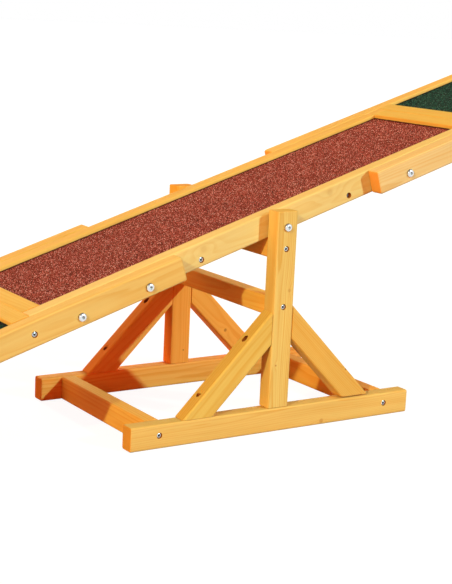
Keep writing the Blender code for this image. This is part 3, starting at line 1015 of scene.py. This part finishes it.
@dataclass
class Timber:
    """One planed length of pine, its grain along its own X."""
    name: str
    length: float
    profile: Profile
    place: Matrix
    cut: Optional[Cut] = None
    bevel: tuple[float, float] = (0.0, 0.0)
    ease: float = 0.0005
    end_steps: int = 4
    spacing: float = 0.045
    planing: float = 0.00006
    planing_waves: float = 14.0
    # how far round a screw, and how deep below its face, the painted shade in its bore reaches
    stain_reach: float = 0.001
    stain_depth: float = 0.0022
    screws: list[Seat] = field(default_factory=list)
    bolts: list[Seat] = field(default_factory=list)

    def __post_init__(self) -> None:
        """Picks the cut by the timber's name, unless it is given."""
        self.cut = self.cut or Cut.sawn(self.name)

    def stations(self) -> list[Point]:
        """Lists where the profile is drawn.

        Returns:
            How far along, how far aslant and how far in each is.
        """
        half = self.length / 2
        first, last = self.bevel
        turns = [math.pi / 2 * step / self.end_steps for step in range(self.end_steps + 1)]
        ends = [(self.ease * (1 - math.sin(turn)), self.ease * (1 - math.cos(turn)))
                for turn in reversed(turns)]
        count = max(int(self.length / self.spacing), 2)
        parts = [step / count for step in range(1, count)]
        return [*((along - half, first, inset) for along, inset in ends),
                *((self.length * part - half, first + (last - first) * part, 0.0)
                  for part in parts),
                *((half - along, last, inset) for along, inset in reversed(ends))]

    def mesh(self) -> Mesh:
        """Makes the timber with its bores.

        Returns:
            The mesh, in the frame of the timber's body.
        """
        bm = bmesh.new()
        loops = []
        for along, slant, inset in self.stations():
            wave = noise.noise(Vector((along * self.planing_waves, self.cut.seed, 0)))
            waste = self.planing * (1 + wave)
            loops.append([bm.verts.new((along + slant * z, y, z))
                          for y, z in self.profile.outline(inset + waste)])
        walls(bm, loops, True)
        mesh = mesh_of(bm, self.name)
        mesh.transform(self.place)
        for kind, seats in ((SCREW, self.screws), (BOLT, self.bolts)):
            if seats:
                mesh = kind.bore(mesh, seats)
        mesh = soften(mesh)
        # Recess: faces within a screw's bore, from 0 at the face to 1 a few millimetres below it,
        # where the pine takes painted shade.
        recess = mesh.attributes.new("recess", "FLOAT", "FACE")
        reach = SCREW.head_radius + self.stain_reach
        for seat in self.screws:
            inside = seat.matrix.inverted()
            for item, face in zip(recess.data, mesh.polygons):
                spots = [inside @ mesh.vertices[index].co for index in face.vertices]
                if max(math.hypot(spot.x, spot.y) for spot in spots) < reach:
                    depth = -sum(spot.z for spot in spots) / len(spots)
                    item.value = min(max(depth / self.stain_depth, item.value), 1.0)
        return mesh

    def build(self, body: Body) -> None:
        """Makes the timber's piece.

        Args:
            body: the body that it rides on.
        """
        name = "pine_" + self.name
        place_piece(name, self.mesh(), body, Slot.PINE, [self.name],
                    PINE.material(name, body.place @ self.place, self.cut))


# Geometry nodes

@dataclass(frozen=True)
class Recipe:
    """A Geometry Nodes tree with named inputs, the last of them its finish."""
    graph: Graph
    entry: Node

    @classmethod
    def start(cls, name: str, inputs: Sequence[tuple[str, str, Any]]) -> "Recipe":
        """Starts a tree.

        Args:
            name: the tree's name.
            inputs: each input's name, socket type and starting value.

        Returns:
            The recipe.
        """
        tree = bpy.data.node_groups.new(name, "GeometryNodeTree")
        tree.interface.new_socket("Geometry", in_out="INPUT", socket_type="NodeSocketGeometry")
        for label, kind, value in (*inputs, ("Finish", "NodeSocketMaterial", None)):
            socket = tree.interface.new_socket(label, in_out="INPUT", socket_type=kind)
            if value is not None:
                socket.default_value = value
        tree.interface.new_socket("Geometry", in_out="OUTPUT", socket_type="NodeSocketGeometry")
        return cls(Graph(tree), tree.nodes.new("NodeGroupInput"))

    def read(self, label: str) -> Signal:
        """Gives an input."""
        return Signal(self.graph, self.entry.outputs[label])

    def end(self, geometry: Signal, chosen: Union[Signal, bool] = True) -> "Recipe":
        """Ends the tree in Realize Instances and Set Material.

        Args:
            geometry: what the tree has made.
            chosen: which faces take the finish.

        Returns:
            The recipe.
        """
        real = self.graph.node("GeometryNodeRealizeInstances", {}, {0: geometry})
        self.graph.end("NodeGroupOutput", self.graph.node("GeometryNodeSetMaterial", {}, {
            "Geometry": real, "Selection": chosen, "Material": self.read("Finish")}))
        return self

    def run(self, mesh: Mesh, values: Mapping[str, Any]) -> Mesh:
        """Runs the tree on a mesh.

        Args:
            mesh: what the tree starts from.
            values: its inputs, by name.

        Returns:
            The result, as a plain mesh.
        """
        tree = self.graph.tree
        sockets = {item.name: item.identifier for item in tree.interface.items_tree
                   if item.in_out == "INPUT"}
        return baked(mesh, "NODES", {"node_group": tree, **{
            sockets[label]: value for label, value in values.items()}})


@cache
def fastener_recipe() -> Recipe:
    """Makes the tree that stands a fastener in every seat, each turned its own way.

    Returns:
        The recipe.
    """
    recipe = Recipe.start("stand_fasteners", (
        ("Fastener", "NodeSocketObject", None), ("Turn Seed", "NodeSocketInt", 3)))
    graph = recipe.graph
    shape = graph.node("GeometryNodeObjectInfo", {}, {"Object": recipe.read("Fastener")},
                       "Geometry")
    facing = graph.node("GeometryNodeInputNamedAttribute", {"data_type": "FLOAT_VECTOR"},
                        {"Name": "facing"})
    stand = graph.node("FunctionNodeAlignRotationToVector", {"axis": "Z"}, {"Vector": facing})
    spin = graph.random(0.0, math.tau, recipe.read("Turn Seed"))
    about = graph.node("FunctionNodeAxisAngleToRotation", {}, {"Axis": (0, 0, 1), "Angle": spin})
    turn = graph.node("FunctionNodeRotateRotation", {"rotation_space": "LOCAL"},
                      {"Rotation": stand, "Rotate By": about})
    return recipe.end(graph.node("GeometryNodeInstanceOnPoints", {}, {
        "Points": recipe.read("Geometry"), "Instance": shape, "Rotation": turn}))


@cache
def granule_recipe() -> Recipe:
    """Makes the tree that strews angular granules over a mat's top and keeps the mat.

    Returns:
        The recipe.
    """
    recipe = Recipe.start("strew_granules", (
        ("Spacing", "NodeSocketFloat", 0.002), ("Density", "NodeSocketFloat", 900000.0),
        ("Granule Radius", "NodeSocketFloat", 0.0012), ("Strew Seed", "NodeSocketInt", 5)))
    graph, read = recipe.graph, recipe.read
    upward = graph.vector("DOT_PRODUCT", graph.node("GeometryNodeInputNormal"), (0, 0, 1),
                          output="Value")
    strewn = graph.node("GeometryNodeDistributePointsOnFaces",
                        {"distribute_method": "POISSON"},
                        {"Mesh": read("Geometry"), "Distance Min": read("Spacing"),
                         "Selection": graph.maths("GREATER_THAN", upward, 0.98),
                         "Density Max": read("Density"), "Seed": read("Strew Seed")}, "Points")
    grain = graph.node("GeometryNodeMeshUVSphere", {}, {"Segments": 4, "Rings": 2,
                                                        "Radius": read("Granule Radius")})
    lean = graph.random((-0.5, -0.5, 0.0), (0.5, 0.5, math.tau), 11)
    size = graph.random((0.75, 0.75, 0.40), (1.25, 1.25, 0.75), 12)
    heap = graph.node("GeometryNodeInstanceOnPoints", {},
                      {"Points": strewn, "Instance": grain, "Rotation": lean, "Scale": size})
    marked = graph.node("GeometryNodeStoreNamedAttribute",
                        {"data_type": "FLOAT", "domain": "INSTANCE"},
                        {"Geometry": heap, "Name": "grain_tone",
                         "Value": graph.random(0.02, 1.0, 13)})
    joined = graph.node("GeometryNodeJoinGeometry", {}, {0: read("Geometry")})
    graph.tree.links.new(marked.socket, joined.socket.node.inputs[0])
    own = graph.node("GeometryNodeInputNamedAttribute", {"data_type": "FLOAT"},
                     {"Name": "grain_tone"})
    return recipe.end(joined, graph.maths("GREATER_THAN", own, 0.01))


# Trestle

@dataclass
class Trestle:
    """The stand: two rails, two cross rails, two posts, four braces and two bars."""
    rail_length: float = 0.470
    rail_thickness: float = 0.023
    rail_height: float = 0.034
    overhang: float = 0.0325
    post_width: float = 0.034
    post_thickness: float = 0.024
    post_top: float = 0.311
    brace_width: float = 0.034
    brace_rise: float = 0.141
    front_rises: tuple[float, float] = (0.138, 0.1445)
    foot_gap: float = 0.0024
    bar_width: float = 0.024
    bar_height: float = 0.027
    mid_bar: float = 0.176
    top_bar: float = 0.2569706
    arris: float = 0.0030
    free_ease: float = 0.0020
    post_ease: float = 0.0012
    brace_ease: float = 0.0006
    grip: float = 0.028
    sunk: float = 0.0014
    brace_land: float = 0.020
    brace_grip: float = 0.013
    brace_top_screw: float = 0.136
    brace_foot_screw: float = 0.124
    rail_screw: float = 0.0185
    bar_screw_lift: float = 0.002

    @property
    def cross_x(self) -> float:
        """Gives a cross rail's distance from the pivot line."""
        return self.rail_length / 2 - self.overhang - self.rail_thickness / 2

    @property
    def post_y(self) -> float:
        """Gives the middle of a post, from the seesaw's middle."""
        return FACE_Y - self.post_thickness / 2

    @property
    def post_face(self) -> float:
        """Gives where the braces meet the posts, from the pivot line."""
        return self.post_width / 2 + GAP

    @property
    def foot(self) -> float:
        """Gives the height that posts and braces stand at."""
        return self.rail_height + GAP

    def rise(self, side: Side, hand: Hand) -> float:
        """Gives how high a brace's outer corner meets its post, above the rail."""
        rises = dict(zip(Hand, self.front_rises))
        return rises[hand] if side is Side.FRONT else self.brace_rise

    def rail_seats(self) -> list[Seat]:
        """Lists the screws through the rails into the cross rails.

        Returns:
            Their seats.
        """
        return [Seat.on(side, (hand.value * self.cross_x, FACE_Y, self.rail_screw),
                        self.rail_thickness + self.grip, self.sunk,
                        f"rail_screw_{side.word}_{hand.word}") for side in Side for hand in Hand]

    def bar_seats(self) -> list[Seat]:
        """Lists the screws through the posts into the bars.

        Returns:
            Their seats.
        """
        return [Seat.on(side, (0, FACE_Y, height + self.bar_screw_lift),
                        self.post_thickness + self.grip, self.sunk,
                        f"bar_screw_{word}_{side.word}")
                for side in Side for word, height in (("mid", self.mid_bar),
                                                      ("top", self.top_bar))]

    def brace_seats(self) -> list[Seat]:
        """Lists the screws sunk in the braces' outer faces.

        Returns:
            Their seats.
        """
        seats = []
        length = self.brace_land + self.brace_grip
        for side in Side:
            for hand in Hand:
                rise = self.rise(side, hand)
                top_x = self.post_face + self.foot + rise - self.brace_top_screw
                foot_z = self.foot + rise - (self.brace_foot_screw - self.post_face)
                y = side.value * self.post_y
                seats.append(Seat((hand.value * top_x, y, self.brace_top_screw),
                                  (hand.value, 0, 0), length,
                                  top_x - self.post_face - self.brace_land - SCREW.head_height))
                seats.append(Seat((hand.value * self.brace_foot_screw, y, foot_z), (0, 0, 1),
                                  length,
                                  foot_z - self.foot - self.brace_land - SCREW.head_height))
        return seats

    def timbers(self) -> list[Timber]:
        """Lists the trestle's timbers.

        Returns:
            The timbers.
        """
        rails, bars, braces = self.rail_seats(), self.bar_seats(), self.brace_seats()
        rail_bar = Profile.bar(self.rail_thickness, self.rail_height, self.arris)
        post_bar = Profile.bar(self.post_thickness, self.post_width, self.arris)
        cross_bar = Profile.bar(self.bar_width, self.bar_height, self.arris)
        post_length = self.post_top - self.foot
        rail_y = FACE_Y - self.rail_thickness / 2
        made: list[Timber] = []
        for side in Side:
            made.append(Timber(
                "rail_" + side.word, self.rail_length, rail_bar,
                Matrix.Translation((0, side.value * rail_y, self.rail_height / 2)),
                ease=self.free_ease, screws=[*rails, *braces]))
            made.append(Timber(
                "post_" + side.word, post_length, post_bar,
                Matrix.Translation((0, side.value * self.post_y, self.foot + post_length / 2))
                @ Grain.UPRIGHT.turn, ease=self.post_ease, screws=[*bars, *braces],
                bolts=[Seat.on(side, (0, FACE_Y, PIVOT_HEIGHT), PIVOT_BORE)]))
        for hand in Hand:
            made.append(Timber(
                "cross_rail_" + hand.word, 2 * (FACE_Y - self.rail_thickness - GAP), rail_bar,
                Matrix.Translation((hand.value * self.cross_x, 0, self.rail_height / 2))
                @ Grain.ACROSS.turn, screws=rails))
            made += [self.brace(side, hand, braces) for side in Side]
        for word, height in (("mid_bar", self.mid_bar), ("top_bar", self.top_bar)):
            made.append(Timber(
                word, 2 * (FACE_Y - self.post_thickness - GAP), cross_bar,
                Matrix.Translation((0, 0, height)) @ Grain.ACROSS.turn, screws=bars))
        return made

    def brace(self, side: Side, hand: Hand, seats: list[Seat]) -> Timber:
        """Shapes one brace, cut level on the rail and upright against the post.

        Args:
            side: the rail that it stands on.
            hand: the side of the post that it leans on.
            seats: the screws sunk in the braces.

        Returns:
            The brace.
        """
        gap = self.foot_gap if side is Side.FRONT and hand is Hand.RIGHT else 0.0
        rise = self.rise(side, hand) - gap
        middle = Vector((self.post_face + rise / 2, 0, self.foot + gap + rise / 2))
        spot = middle + Vector((-1, 0, -1)).normalized() * self.brace_width / 2
        spot.x *= hand.value
        spot.y = side.value * self.post_y
        lean = Matrix.Rotation(hand.value * math.pi / 4, 4, "Y")
        return Timber(f"brace_{side.word}_{hand.word}", rise * math.sqrt(2) - self.brace_width,
                      Profile.bar(self.post_thickness, self.brace_width, self.arris),
                      Matrix.Translation(spot) @ lean, bevel=(-1.0, 1.0), ease=self.brace_ease,
                      screws=seats)

    def build(self) -> None:
        """Makes the trestle's pieces."""
        for timber in self.timbers():
            timber.build(Body.TRESTLE)
        SCREW.stand("screws_trestle_frame", [*self.rail_seats(), *self.bar_seats()],
                    Body.TRESTLE, seed=4)
        SCREW.stand("screws_braces", self.brace_seats(), Body.TRESTLE, seed=8)


# Walkway

@dataclass(frozen=True)
class Deck:
    """The heights that the walkway's sections share, from the pivot, square to the walkway."""
    underside: float = -0.013
    top: float = 0.021
    mat_top: float = 0.0157
    mat_thickness: float = 0.0025
    board_thickness: float = 0.006
    lip_width: float = 0.010
    bearer_width: float = 0.034
    member_width: float = 0.0252
    beam_outer: float = 0.119
    beam_thickness: float = 0.022
    end_rail_thickness: float = 0.023
    end_rail_start: float = 0.1665
    section_end: float = 0.3832
    half_length: float = 0.900
    arris: float = 0.0030
    free_ease: float = 0.0034
    member_arris: float = 0.0012
    ledge_arris: float = 0.0005
    ledge_fold: float = 0.0004
    fitted_ease: float = 0.0003
    grip: float = 0.028

    @property
    def middle(self) -> float:
        """Gives the middle of the walkway's depth."""
        return (self.top + self.underside) / 2

    @property
    def depth(self) -> float:
        """Gives the walkway's depth."""
        return self.top - self.underside

    @property
    def board_top(self) -> float:
        """Gives the top of the deck boards."""
        return self.mat_top - self.mat_thickness - GAP

    @property
    def lip(self) -> float:
        """Gives the height of the ledges and of the bearers' tops."""
        return self.board_top - self.board_thickness - GAP

    @property
    def bearer_middle(self) -> float:
        """Gives the middle of the bearers' depth."""
        return (self.lip + self.underside) / 2

    @property
    def rail_outer(self) -> float:
        """Gives the end rails' outer faces, from the seesaw's middle."""
        return self.beam_outer + GAP + self.end_rail_thickness

    def member(self, name: str, plain_x: float, deck_x: float, half: float,
               seats: list[Seat]) -> Timber:
        """Shapes a cross member with a ledge for a deck board.

        Args:
            name: the CAD node's name.
            plain_x: where its plain face is.
            deck_x: where its face over the ledge is.
            half: half of its length.
            seats: the screws into its ends.

        Returns:
            The member.
        """
        wide = abs(deck_x - plain_x) / 2
        low, high, lip = (level - self.middle for level in (self.underside, self.top, self.lip))
        ledge = wide + self.lip_width
        corners = ((-wide, low, self.ledge_arris), (ledge, low, self.ledge_arris),
                   (ledge, lip, self.ledge_arris), (wide, lip, self.ledge_fold),
                   (wide, high, self.member_arris), (-wide, high, self.member_arris))
        grain = Grain.BACKWARDS if deck_x > plain_x else Grain.ACROSS
        place = Matrix.Translation(((plain_x + deck_x) / 2, 0, self.middle)) @ grain.turn
        return Timber(name, 2 * half, Profile(corners, 4), place, ease=self.fitted_ease,
                      screws=seats)

    def bearer(self, name: str, x: float, half: float, seats: list[Seat]) -> Timber:
        """Shapes a bearer under a deck board.

        Args:
            name: the CAD node's name.
            x: where it is along the walkway.
            half: half of its length.
            seats: the screws into its ends.

        Returns:
            The bearer.
        """
        bar = Profile.bar(self.bearer_width, self.lip - self.underside, self.arris)
        place = Matrix.Translation((x, 0, self.bearer_middle)) @ Grain.ACROSS.turn
        return Timber(name, 2 * half, bar, place, screws=seats)

    def board(self, name: str, start: float, end: float, half: float) -> None:
        """Makes a deck board's piece.

        Args:
            name: the CAD node's name.
            start: where it starts along the walkway.
            end: where it ends.
            half: half of its width.
        """
        centre = Matrix.Translation(((start + end) / 2, 0,
                                     self.board_top - self.board_thickness / 2))
        bar = Profile.bar(2 * half, self.board_thickness, self.ledge_fold)
        board = Timber(name, end - start, bar, centre, Cut(pith=(0, 0)), ease=self.fitted_ease)
        body = Body.WALKWAY
        place_piece("plywood_" + name, board.mesh(), body, Slot.PLYWOOD, [name],
                    PLYWOOD.material("plywood_" + name, body.place @ centre))


@dataclass
class Mat:
    """A mat of bonded granules, with an edge that was cut by hand and curls up a little."""
    node: str
    start: float
    end: float
    half: float
    finish: MineralFinish
    slot: Slot
    seed: int
    spacing: float = 0.00185
    radius: float = 0.0012
    bare_edge: float = 0.0036
    edge_curl: float = 0.0010
    granule_room: float = 0.0006
    edge_step: float = 0.006
    raggedness: float = 0.0012
    edge_waves: float = 90.0
    near: float = 1e-6

    def felt(self, deck: Deck) -> Mesh:
        """Makes the mat under its granules.

        Args:
            deck: the walkway's heights.

        Returns:
            The mat's mesh, in the walkway's frame.
        """
        bm = bmesh.new()
        top = deck.mat_top - self.granule_room
        corners = [(self.start, -self.half), (self.end, -self.half), (self.end, self.half),
                   (self.start, self.half)]
        steps = int((self.end - self.start) / self.edge_step)
        rows = int(2 * self.half / self.edge_step)
        rim = [(x + (next_x - x) * i / count, y + (next_y - y) * i / count)
               for (x, y), (next_x, next_y), count in zip(corners, corners[1:] + corners[:1],
                                                          (steps, rows) * 2)
               for i in range(count)]
        loops = []
        for height, inset in ((deck.mat_top - deck.mat_thickness, 0.0),
                              (top + self.edge_curl, 0.0), (top, self.bare_edge)):
            loop = []
            for x, y in rim:
                wave = abs(noise.noise(Vector((x * self.edge_waves, y * self.edge_waves,
                                               self.seed))))
                ragged = GAP + self.raggedness * wave + inset
                if min(abs(x - self.start), abs(x - self.end)) < self.near:
                    x_in = x - math.copysign(ragged, x - (self.start + self.end) / 2)
                else:
                    x_in = x
                at_side = abs(abs(y) - self.half) < self.near
                y_in = y - math.copysign(ragged, y) if at_side else y
                loop.append(bm.verts.new((x_in, y_in, height)))
            loops.append(loop)
        bm.faces.new(loops[0][::-1])
        bm.faces.new(loops[-1])
        walls(bm, loops)
        return mesh_of(bm, self.node)

    def build(self, deck: Deck) -> None:
        """Makes the mat's piece.

        Args:
            deck: the walkway's heights.
        """
        felt = self.felt(deck)
        felt.materials.append(self.finish.felt())
        mesh = granule_recipe().run(felt, {
            "Spacing": self.spacing, "Granule Radius": self.radius, "Strew Seed": self.seed,
            "Finish": self.finish.grit()})
        place_piece("mat_" + self.node, mesh, Body.WALKWAY, self.slot, [self.node])


@dataclass
class CentreSection:
    """The walkway's middle: two beams, end members, bearers, a deck board and the red mat."""
    deck: Deck
    bearer_offset: float = 0.1274
    sunk: tuple[float, float] = (0.0014, 0.0045)

    @property
    def half(self) -> float:
        """Gives half of the width between the beams."""
        return self.deck.beam_outer - self.deck.beam_thickness - GAP

    def bearer_seats(self) -> list[Seat]:
        """Lists the screws through the beams into the bearers.

        Returns:
            Their seats.
        """
        deck = self.deck
        return [Seat.on(side, (hand.value * self.bearer_offset, deck.beam_outer,
                               deck.bearer_middle), deck.beam_thickness + deck.grip, sunk,
                        f"bearer_screw_{side.word}_{hand.word}")
                for side in Side for hand, sunk in zip(Hand, self.sunk)]

    def timbers(self, bolts: list[Seat]) -> list[Timber]:
        """Lists the section's timbers.

        Args:
            bolts: the connector bolts through the beams.

        Returns:
            The timbers.
        """
        deck, seats = self.deck, self.bearer_seats()
        y = deck.beam_outer - deck.beam_thickness / 2
        bar = Profile.bar(deck.beam_thickness, deck.depth, deck.arris)
        made = [Timber("beam_" + side.word, 2 * deck.section_end, bar,
                       Matrix.Translation((0, side.value * y, deck.middle)), screws=seats,
                       bolts=[*bolts, Seat.on(side, (0, FACE_Y, 0), PIVOT_BORE)])
                for side in Side]
        for hand in Hand:
            end, inner = (hand.value * x for x in (deck.section_end,
                                                   deck.section_end - deck.member_width))
            made.append(deck.member("centre_end_member_" + hand.word, end, inner, self.half, []))
            made.append(deck.bearer("centre_bearer_" + hand.word,
                                    hand.value * self.bearer_offset, self.half, seats))
        return made

    def build(self, bolts: list[Seat]) -> None:
        """Makes the section's pieces.

        Args:
            bolts: the connector bolts through the beams.
        """
        deck = self.deck
        for timber in self.timbers(bolts):
            timber.build(Body.WALKWAY)
        end = deck.section_end - deck.member_width - GAP
        deck.board("centre_deck_board", -end, end, self.half)
        Mat("centre_mat_red", -end, end, self.half, RED, Slot.RED_MAT, 5).build(deck)
        SCREW.stand("screws_centre_section", self.bearer_seats(), Body.WALKWAY, seed=6)


@dataclass
class EndSection:
    """One end of the walkway: outer rails, members, a bearer, a deck board and a green mat."""
    deck: Deck
    hand: Hand
    bearer_offset: float = 0.640
    inner_inset: float = 0.0085
    sunk: float = 0.0008
    mat_seed: int = 7
    screw_seed: int = 9

    @property
    def inner_start(self) -> float:
        """Gives where the inner member starts, from the pivot."""
        return self.deck.section_end + GAP

    def screw_seats(self) -> list[Seat]:
        """Lists the screws through the outer rails into the members and the bearer.

        Returns:
            Their seats.
        """
        deck = self.deck
        spots = ((self.inner_start + self.inner_inset, deck.middle),
                 (self.bearer_offset, deck.bearer_middle),
                 (deck.half_length - deck.member_width / 2, deck.middle))
        return [Seat.on(side, (self.hand.value * x, deck.rail_outer, z),
                        deck.end_rail_thickness + deck.grip, self.sunk)
                for side in Side for x, z in spots]

    def build(self, bolts: list[Seat]) -> None:
        """Makes the section's pieces.

        Args:
            bolts: the connector bolts through the outer rails.
        """
        deck, sign, word = self.deck, self.hand.value, self.hand.word
        seats = self.screw_seats()
        length = deck.half_length - deck.end_rail_start
        bar = Profile.bar(deck.end_rail_thickness, deck.depth, deck.arris)
        x = sign * (deck.end_rail_start + length / 2)
        y = deck.beam_outer + GAP + deck.end_rail_thickness / 2
        timbers = [Timber(f"end_rail_{side.word}_{word}", length, bar,
                          Matrix.Translation((x, side.value * y, deck.middle)),
                          ease=deck.free_ease, screws=seats, bolts=bolts) for side in Side]
        half = deck.beam_outer
        inner_end = self.inner_start + deck.member_width
        outer_start = deck.half_length - deck.member_width
        for part, plain_x, deck_x in (("inner", self.inner_start, inner_end),
                                      ("outer", deck.half_length, outer_start)):
            timbers.append(deck.member(f"{part}_member_{word}", sign * plain_x, sign * deck_x,
                                       half, seats))
        timbers.append(deck.bearer("end_bearer_" + word, sign * self.bearer_offset, half, seats))
        for timber in timbers:
            timber.build(Body.WALKWAY)
        start, end = sorted((sign * (inner_end + GAP), sign * (outer_start - GAP)))
        deck.board("end_deck_board_" + word, start, end, half)
        Mat("end_mat_green_" + word, start, end, half, GREEN, Slot.GREEN_MAT,
            self.mat_seed + sign).build(deck)
        SCREW.stand("screws_end_section_" + word, seats, Body.WALKWAY,
                    seed=self.screw_seed + sign)


@dataclass
class Joints:
    """The bolts: eight that join the walkway's sections and two that it tilts on."""
    deck: Deck
    near: float = 0.223
    far: float = 0.325
    nut: Ring = Ring(0.0058, 0.005, True)
    spacer: Ring = Ring(0.008, 0.0014, False)
    post_thickness: float = 0.024
    tip: float = 0.0015
    threaded: float = 0.012

    @property
    def connector_grip(self) -> float:
        """Gives how far below a connector bolt's face its nut begins."""
        return self.deck.end_rail_thickness + self.deck.beam_thickness + 3 * GAP

    @property
    def pivot_grip(self) -> float:
        """Gives how far below a pivot bolt's face its nut begins."""
        return FACE_Y - (self.deck.beam_outer - self.deck.beam_thickness) + GAP

    def connector_seats(self) -> list[Seat]:
        """Lists the connector bolts.

        Returns:
            Their seats.
        """
        length = self.connector_grip + self.nut.height + self.tip
        return [Seat.on(side, (hand.value * x, self.deck.rail_outer, 0), length, 0.0,
                        f"connector_bolt_{side.word}_{hand.word}_{word}")
                for side in Side for hand in Hand
                for word, x in (("near", self.near), ("far", self.far))]

    def pivot_seats(self) -> list[Seat]:
        """Lists the pivot bolts.

        Returns:
            Their seats.
        """
        length = self.pivot_grip + self.nut.height + self.tip
        return [Seat.on(side, (0, FACE_Y, PIVOT_HEIGHT), length, 0.0, "pivot_bolt_" + side.word)
                for side in Side]

    def build(self) -> None:
        """Makes the bolts, nuts and spacers."""
        connectors, pivots = self.connector_seats(), self.pivot_seats()
        BOLT.stand("bolts_connector", connectors, Body.WALKWAY, seed=21,
                   threaded=self.threaded)
        self.nut.stand("nuts_connector", connectors, self.connector_grip, Body.WALKWAY, [])
        BOLT.stand("bolts_pivot", pivots, Body.TRESTLE, seed=22, threaded=self.threaded)
        self.nut.stand("nuts_pivot", pivots, self.pivot_grip, Body.TRESTLE,
                       ["pivot_nut_front", "pivot_nut_rear"])
        self.spacer.stand("spacers_pivot", pivots, self.post_thickness + GAP, Body.TRESTLE,
                          ["pivot_spacer_front", "pivot_spacer_rear"])


# Studio

@dataclass(frozen=True)
class Lamp:
    """A studio lamp, by where it stands round the seesaw."""
    name: str
    azimuth: float
    elevation: float
    strength: float
    colour: Point
    spread: float
    distance: float = 4.0

    def build(self) -> None:
        """Makes the lamp."""
        light = bpy.data.lights.new(self.name, "SUN")
        light.energy = self.strength
        light.color = self.colour
        light.angle = math.radians(self.spread)
        lamp = stood(self.name, light)
        azimuth, elevation = math.radians(self.azimuth), math.radians(self.elevation)
        back = Vector((math.sin(azimuth) * math.cos(elevation),
                       -math.cos(azimuth) * math.cos(elevation), math.sin(elevation)))
        lamp.rotation_mode = "QUATERNION"
        lamp.rotation_quaternion = back.to_track_quat("Z", "Y")
        lamp.location = back * self.distance


@dataclass
class Studio:
    """A pale floor, a pale surround, the lamps and the camera."""
    lamps: tuple[Lamp, ...] = (
        Lamp("key", 27.9, 23.8, 2.02, (0.605, 1.0, 0.93), 1.6),
        Lamp("side", -62.0, 25.0, 1.62, (0.96, 0.93, 0.45), 1.6),
        Lamp("back", 165.0, 12.0, 1.35, (1.0, 0.89, 0.55), 30.0),
        Lamp("bounce", -95.0, 8.0, 2.20, (1.0, 0.54, 0.24), 80.0))
    horizon: Point = (1.8, 0.17, 0.09)
    overhead: Point = (0.12, 0.15, 0.07)
    floor_colour: Point = (0.155, 0.155, 0.155)
    floor_glow: float = 0.93
    floor_radius: float = 30.0
    floor_height: float = -0.0002
    lens: float = 87.156
    sensor: float = 36.0
    clip_end: float = 200.0
    camera_place: Point = (-1.11749, -1.68777, 0.58364)
    camera_turn: Point = (-33.507, 11.525, 2.658)

    def floor(self) -> None:
        """Makes the floor, which the camera sees white and which keeps the shadow."""
        graph = Graph.of(bpy.data.materials.new("studio_floor"))
        material = graph.finish({
            "Base Color": (*self.floor_colour, 1), "Roughness": 0.9,
            "Specular IOR Level": 0.1, "Emission Color": (1, 1, 1, 1),
            "Emission Strength": self.seen(graph) * self.floor_glow})
        bm = bmesh.new()
        bmesh.ops.create_circle(bm, cap_ends=True, segments=64, radius=self.floor_radius)
        floor = stood("studio_floor", mesh_of(bm, "studio_floor"))
        floor.data.transform(Matrix.Translation((0, 0, self.floor_height)))
        floor.data.materials.append(material)

    def seen(self, graph: Graph) -> Signal:
        """Gives 1 for what the camera, a reflection or glass sees, and 0 for bounced light.

        Args:
            graph: the tree that reads it.

        Returns:
            1 or 0.
        """
        camera, glossy, glass = (graph.node("ShaderNodeLightPath", output=f"Is {ray} Ray")
                                 for ray in ("Camera", "Glossy", "Transmission"))
        return graph.maths("MAXIMUM", graph.maths("MAXIMUM", camera, glossy), glass)

    def sky(self) -> None:
        """Makes the surround: white where it is seen, and soft warm light on the seesaw."""
        world = bpy.data.worlds.new("studio")
        bpy.context.scene.world = world
        graph = Graph.of(world)
        rise = graph.maths("ABSOLUTE", graph.place("Generated").part("Z"))
        level = graph.mix(rise.step(0.25, 0.60), self.horizon, self.overhead)
        colour = graph.mix(self.seen(graph), level, (1.0, 1.0, 1.0))
        graph.end("ShaderNodeOutputWorld", graph.node("ShaderNodeBackground", {},
                                                      {"Color": colour, "Strength": 1.0}))

    def camera(self) -> None:
        """Makes the camera at the photograph's viewing angle."""
        lens = bpy.data.cameras.new("camera")
        lens.lens = self.lens
        lens.sensor_width = self.sensor
        lens.sensor_fit = "AUTO"
        lens.clip_end = self.clip_end
        camera = stood("camera", lens)
        camera.location = self.camera_place
        azimuth, elevation, roll = (math.radians(angle) for angle in self.camera_turn)
        turn = (Matrix.Rotation(azimuth, 3, "Z") @ Matrix.Rotation(math.pi / 2 - elevation, 3, "X")
                @ Matrix.Rotation(roll, 3, "Z"))
        camera.rotation_euler = turn.to_euler()
        bpy.context.scene.camera = camera

    def build(self) -> None:
        """Makes the studio."""
        bpy.context.scene.view_settings.view_transform = "Standard"
        self.camera()
        self.floor()
        self.sky()
        for lamp in self.lamps:
            lamp.build()


def main() -> None:
    """Builds the seesaw's looks, piece by piece."""
    logging.basicConfig(level=logging.INFO, format="%(name)s: %(message)s")
    deck = Deck()
    joints = Joints(deck)
    bolts = joints.connector_seats()
    Trestle().build()
    CentreSection(deck).build(bolts)
    for hand in Hand:
        EndSection(deck, hand).build(bolts)
    joints.build()
    Studio().build()


if __name__ == "__main__":
    main()
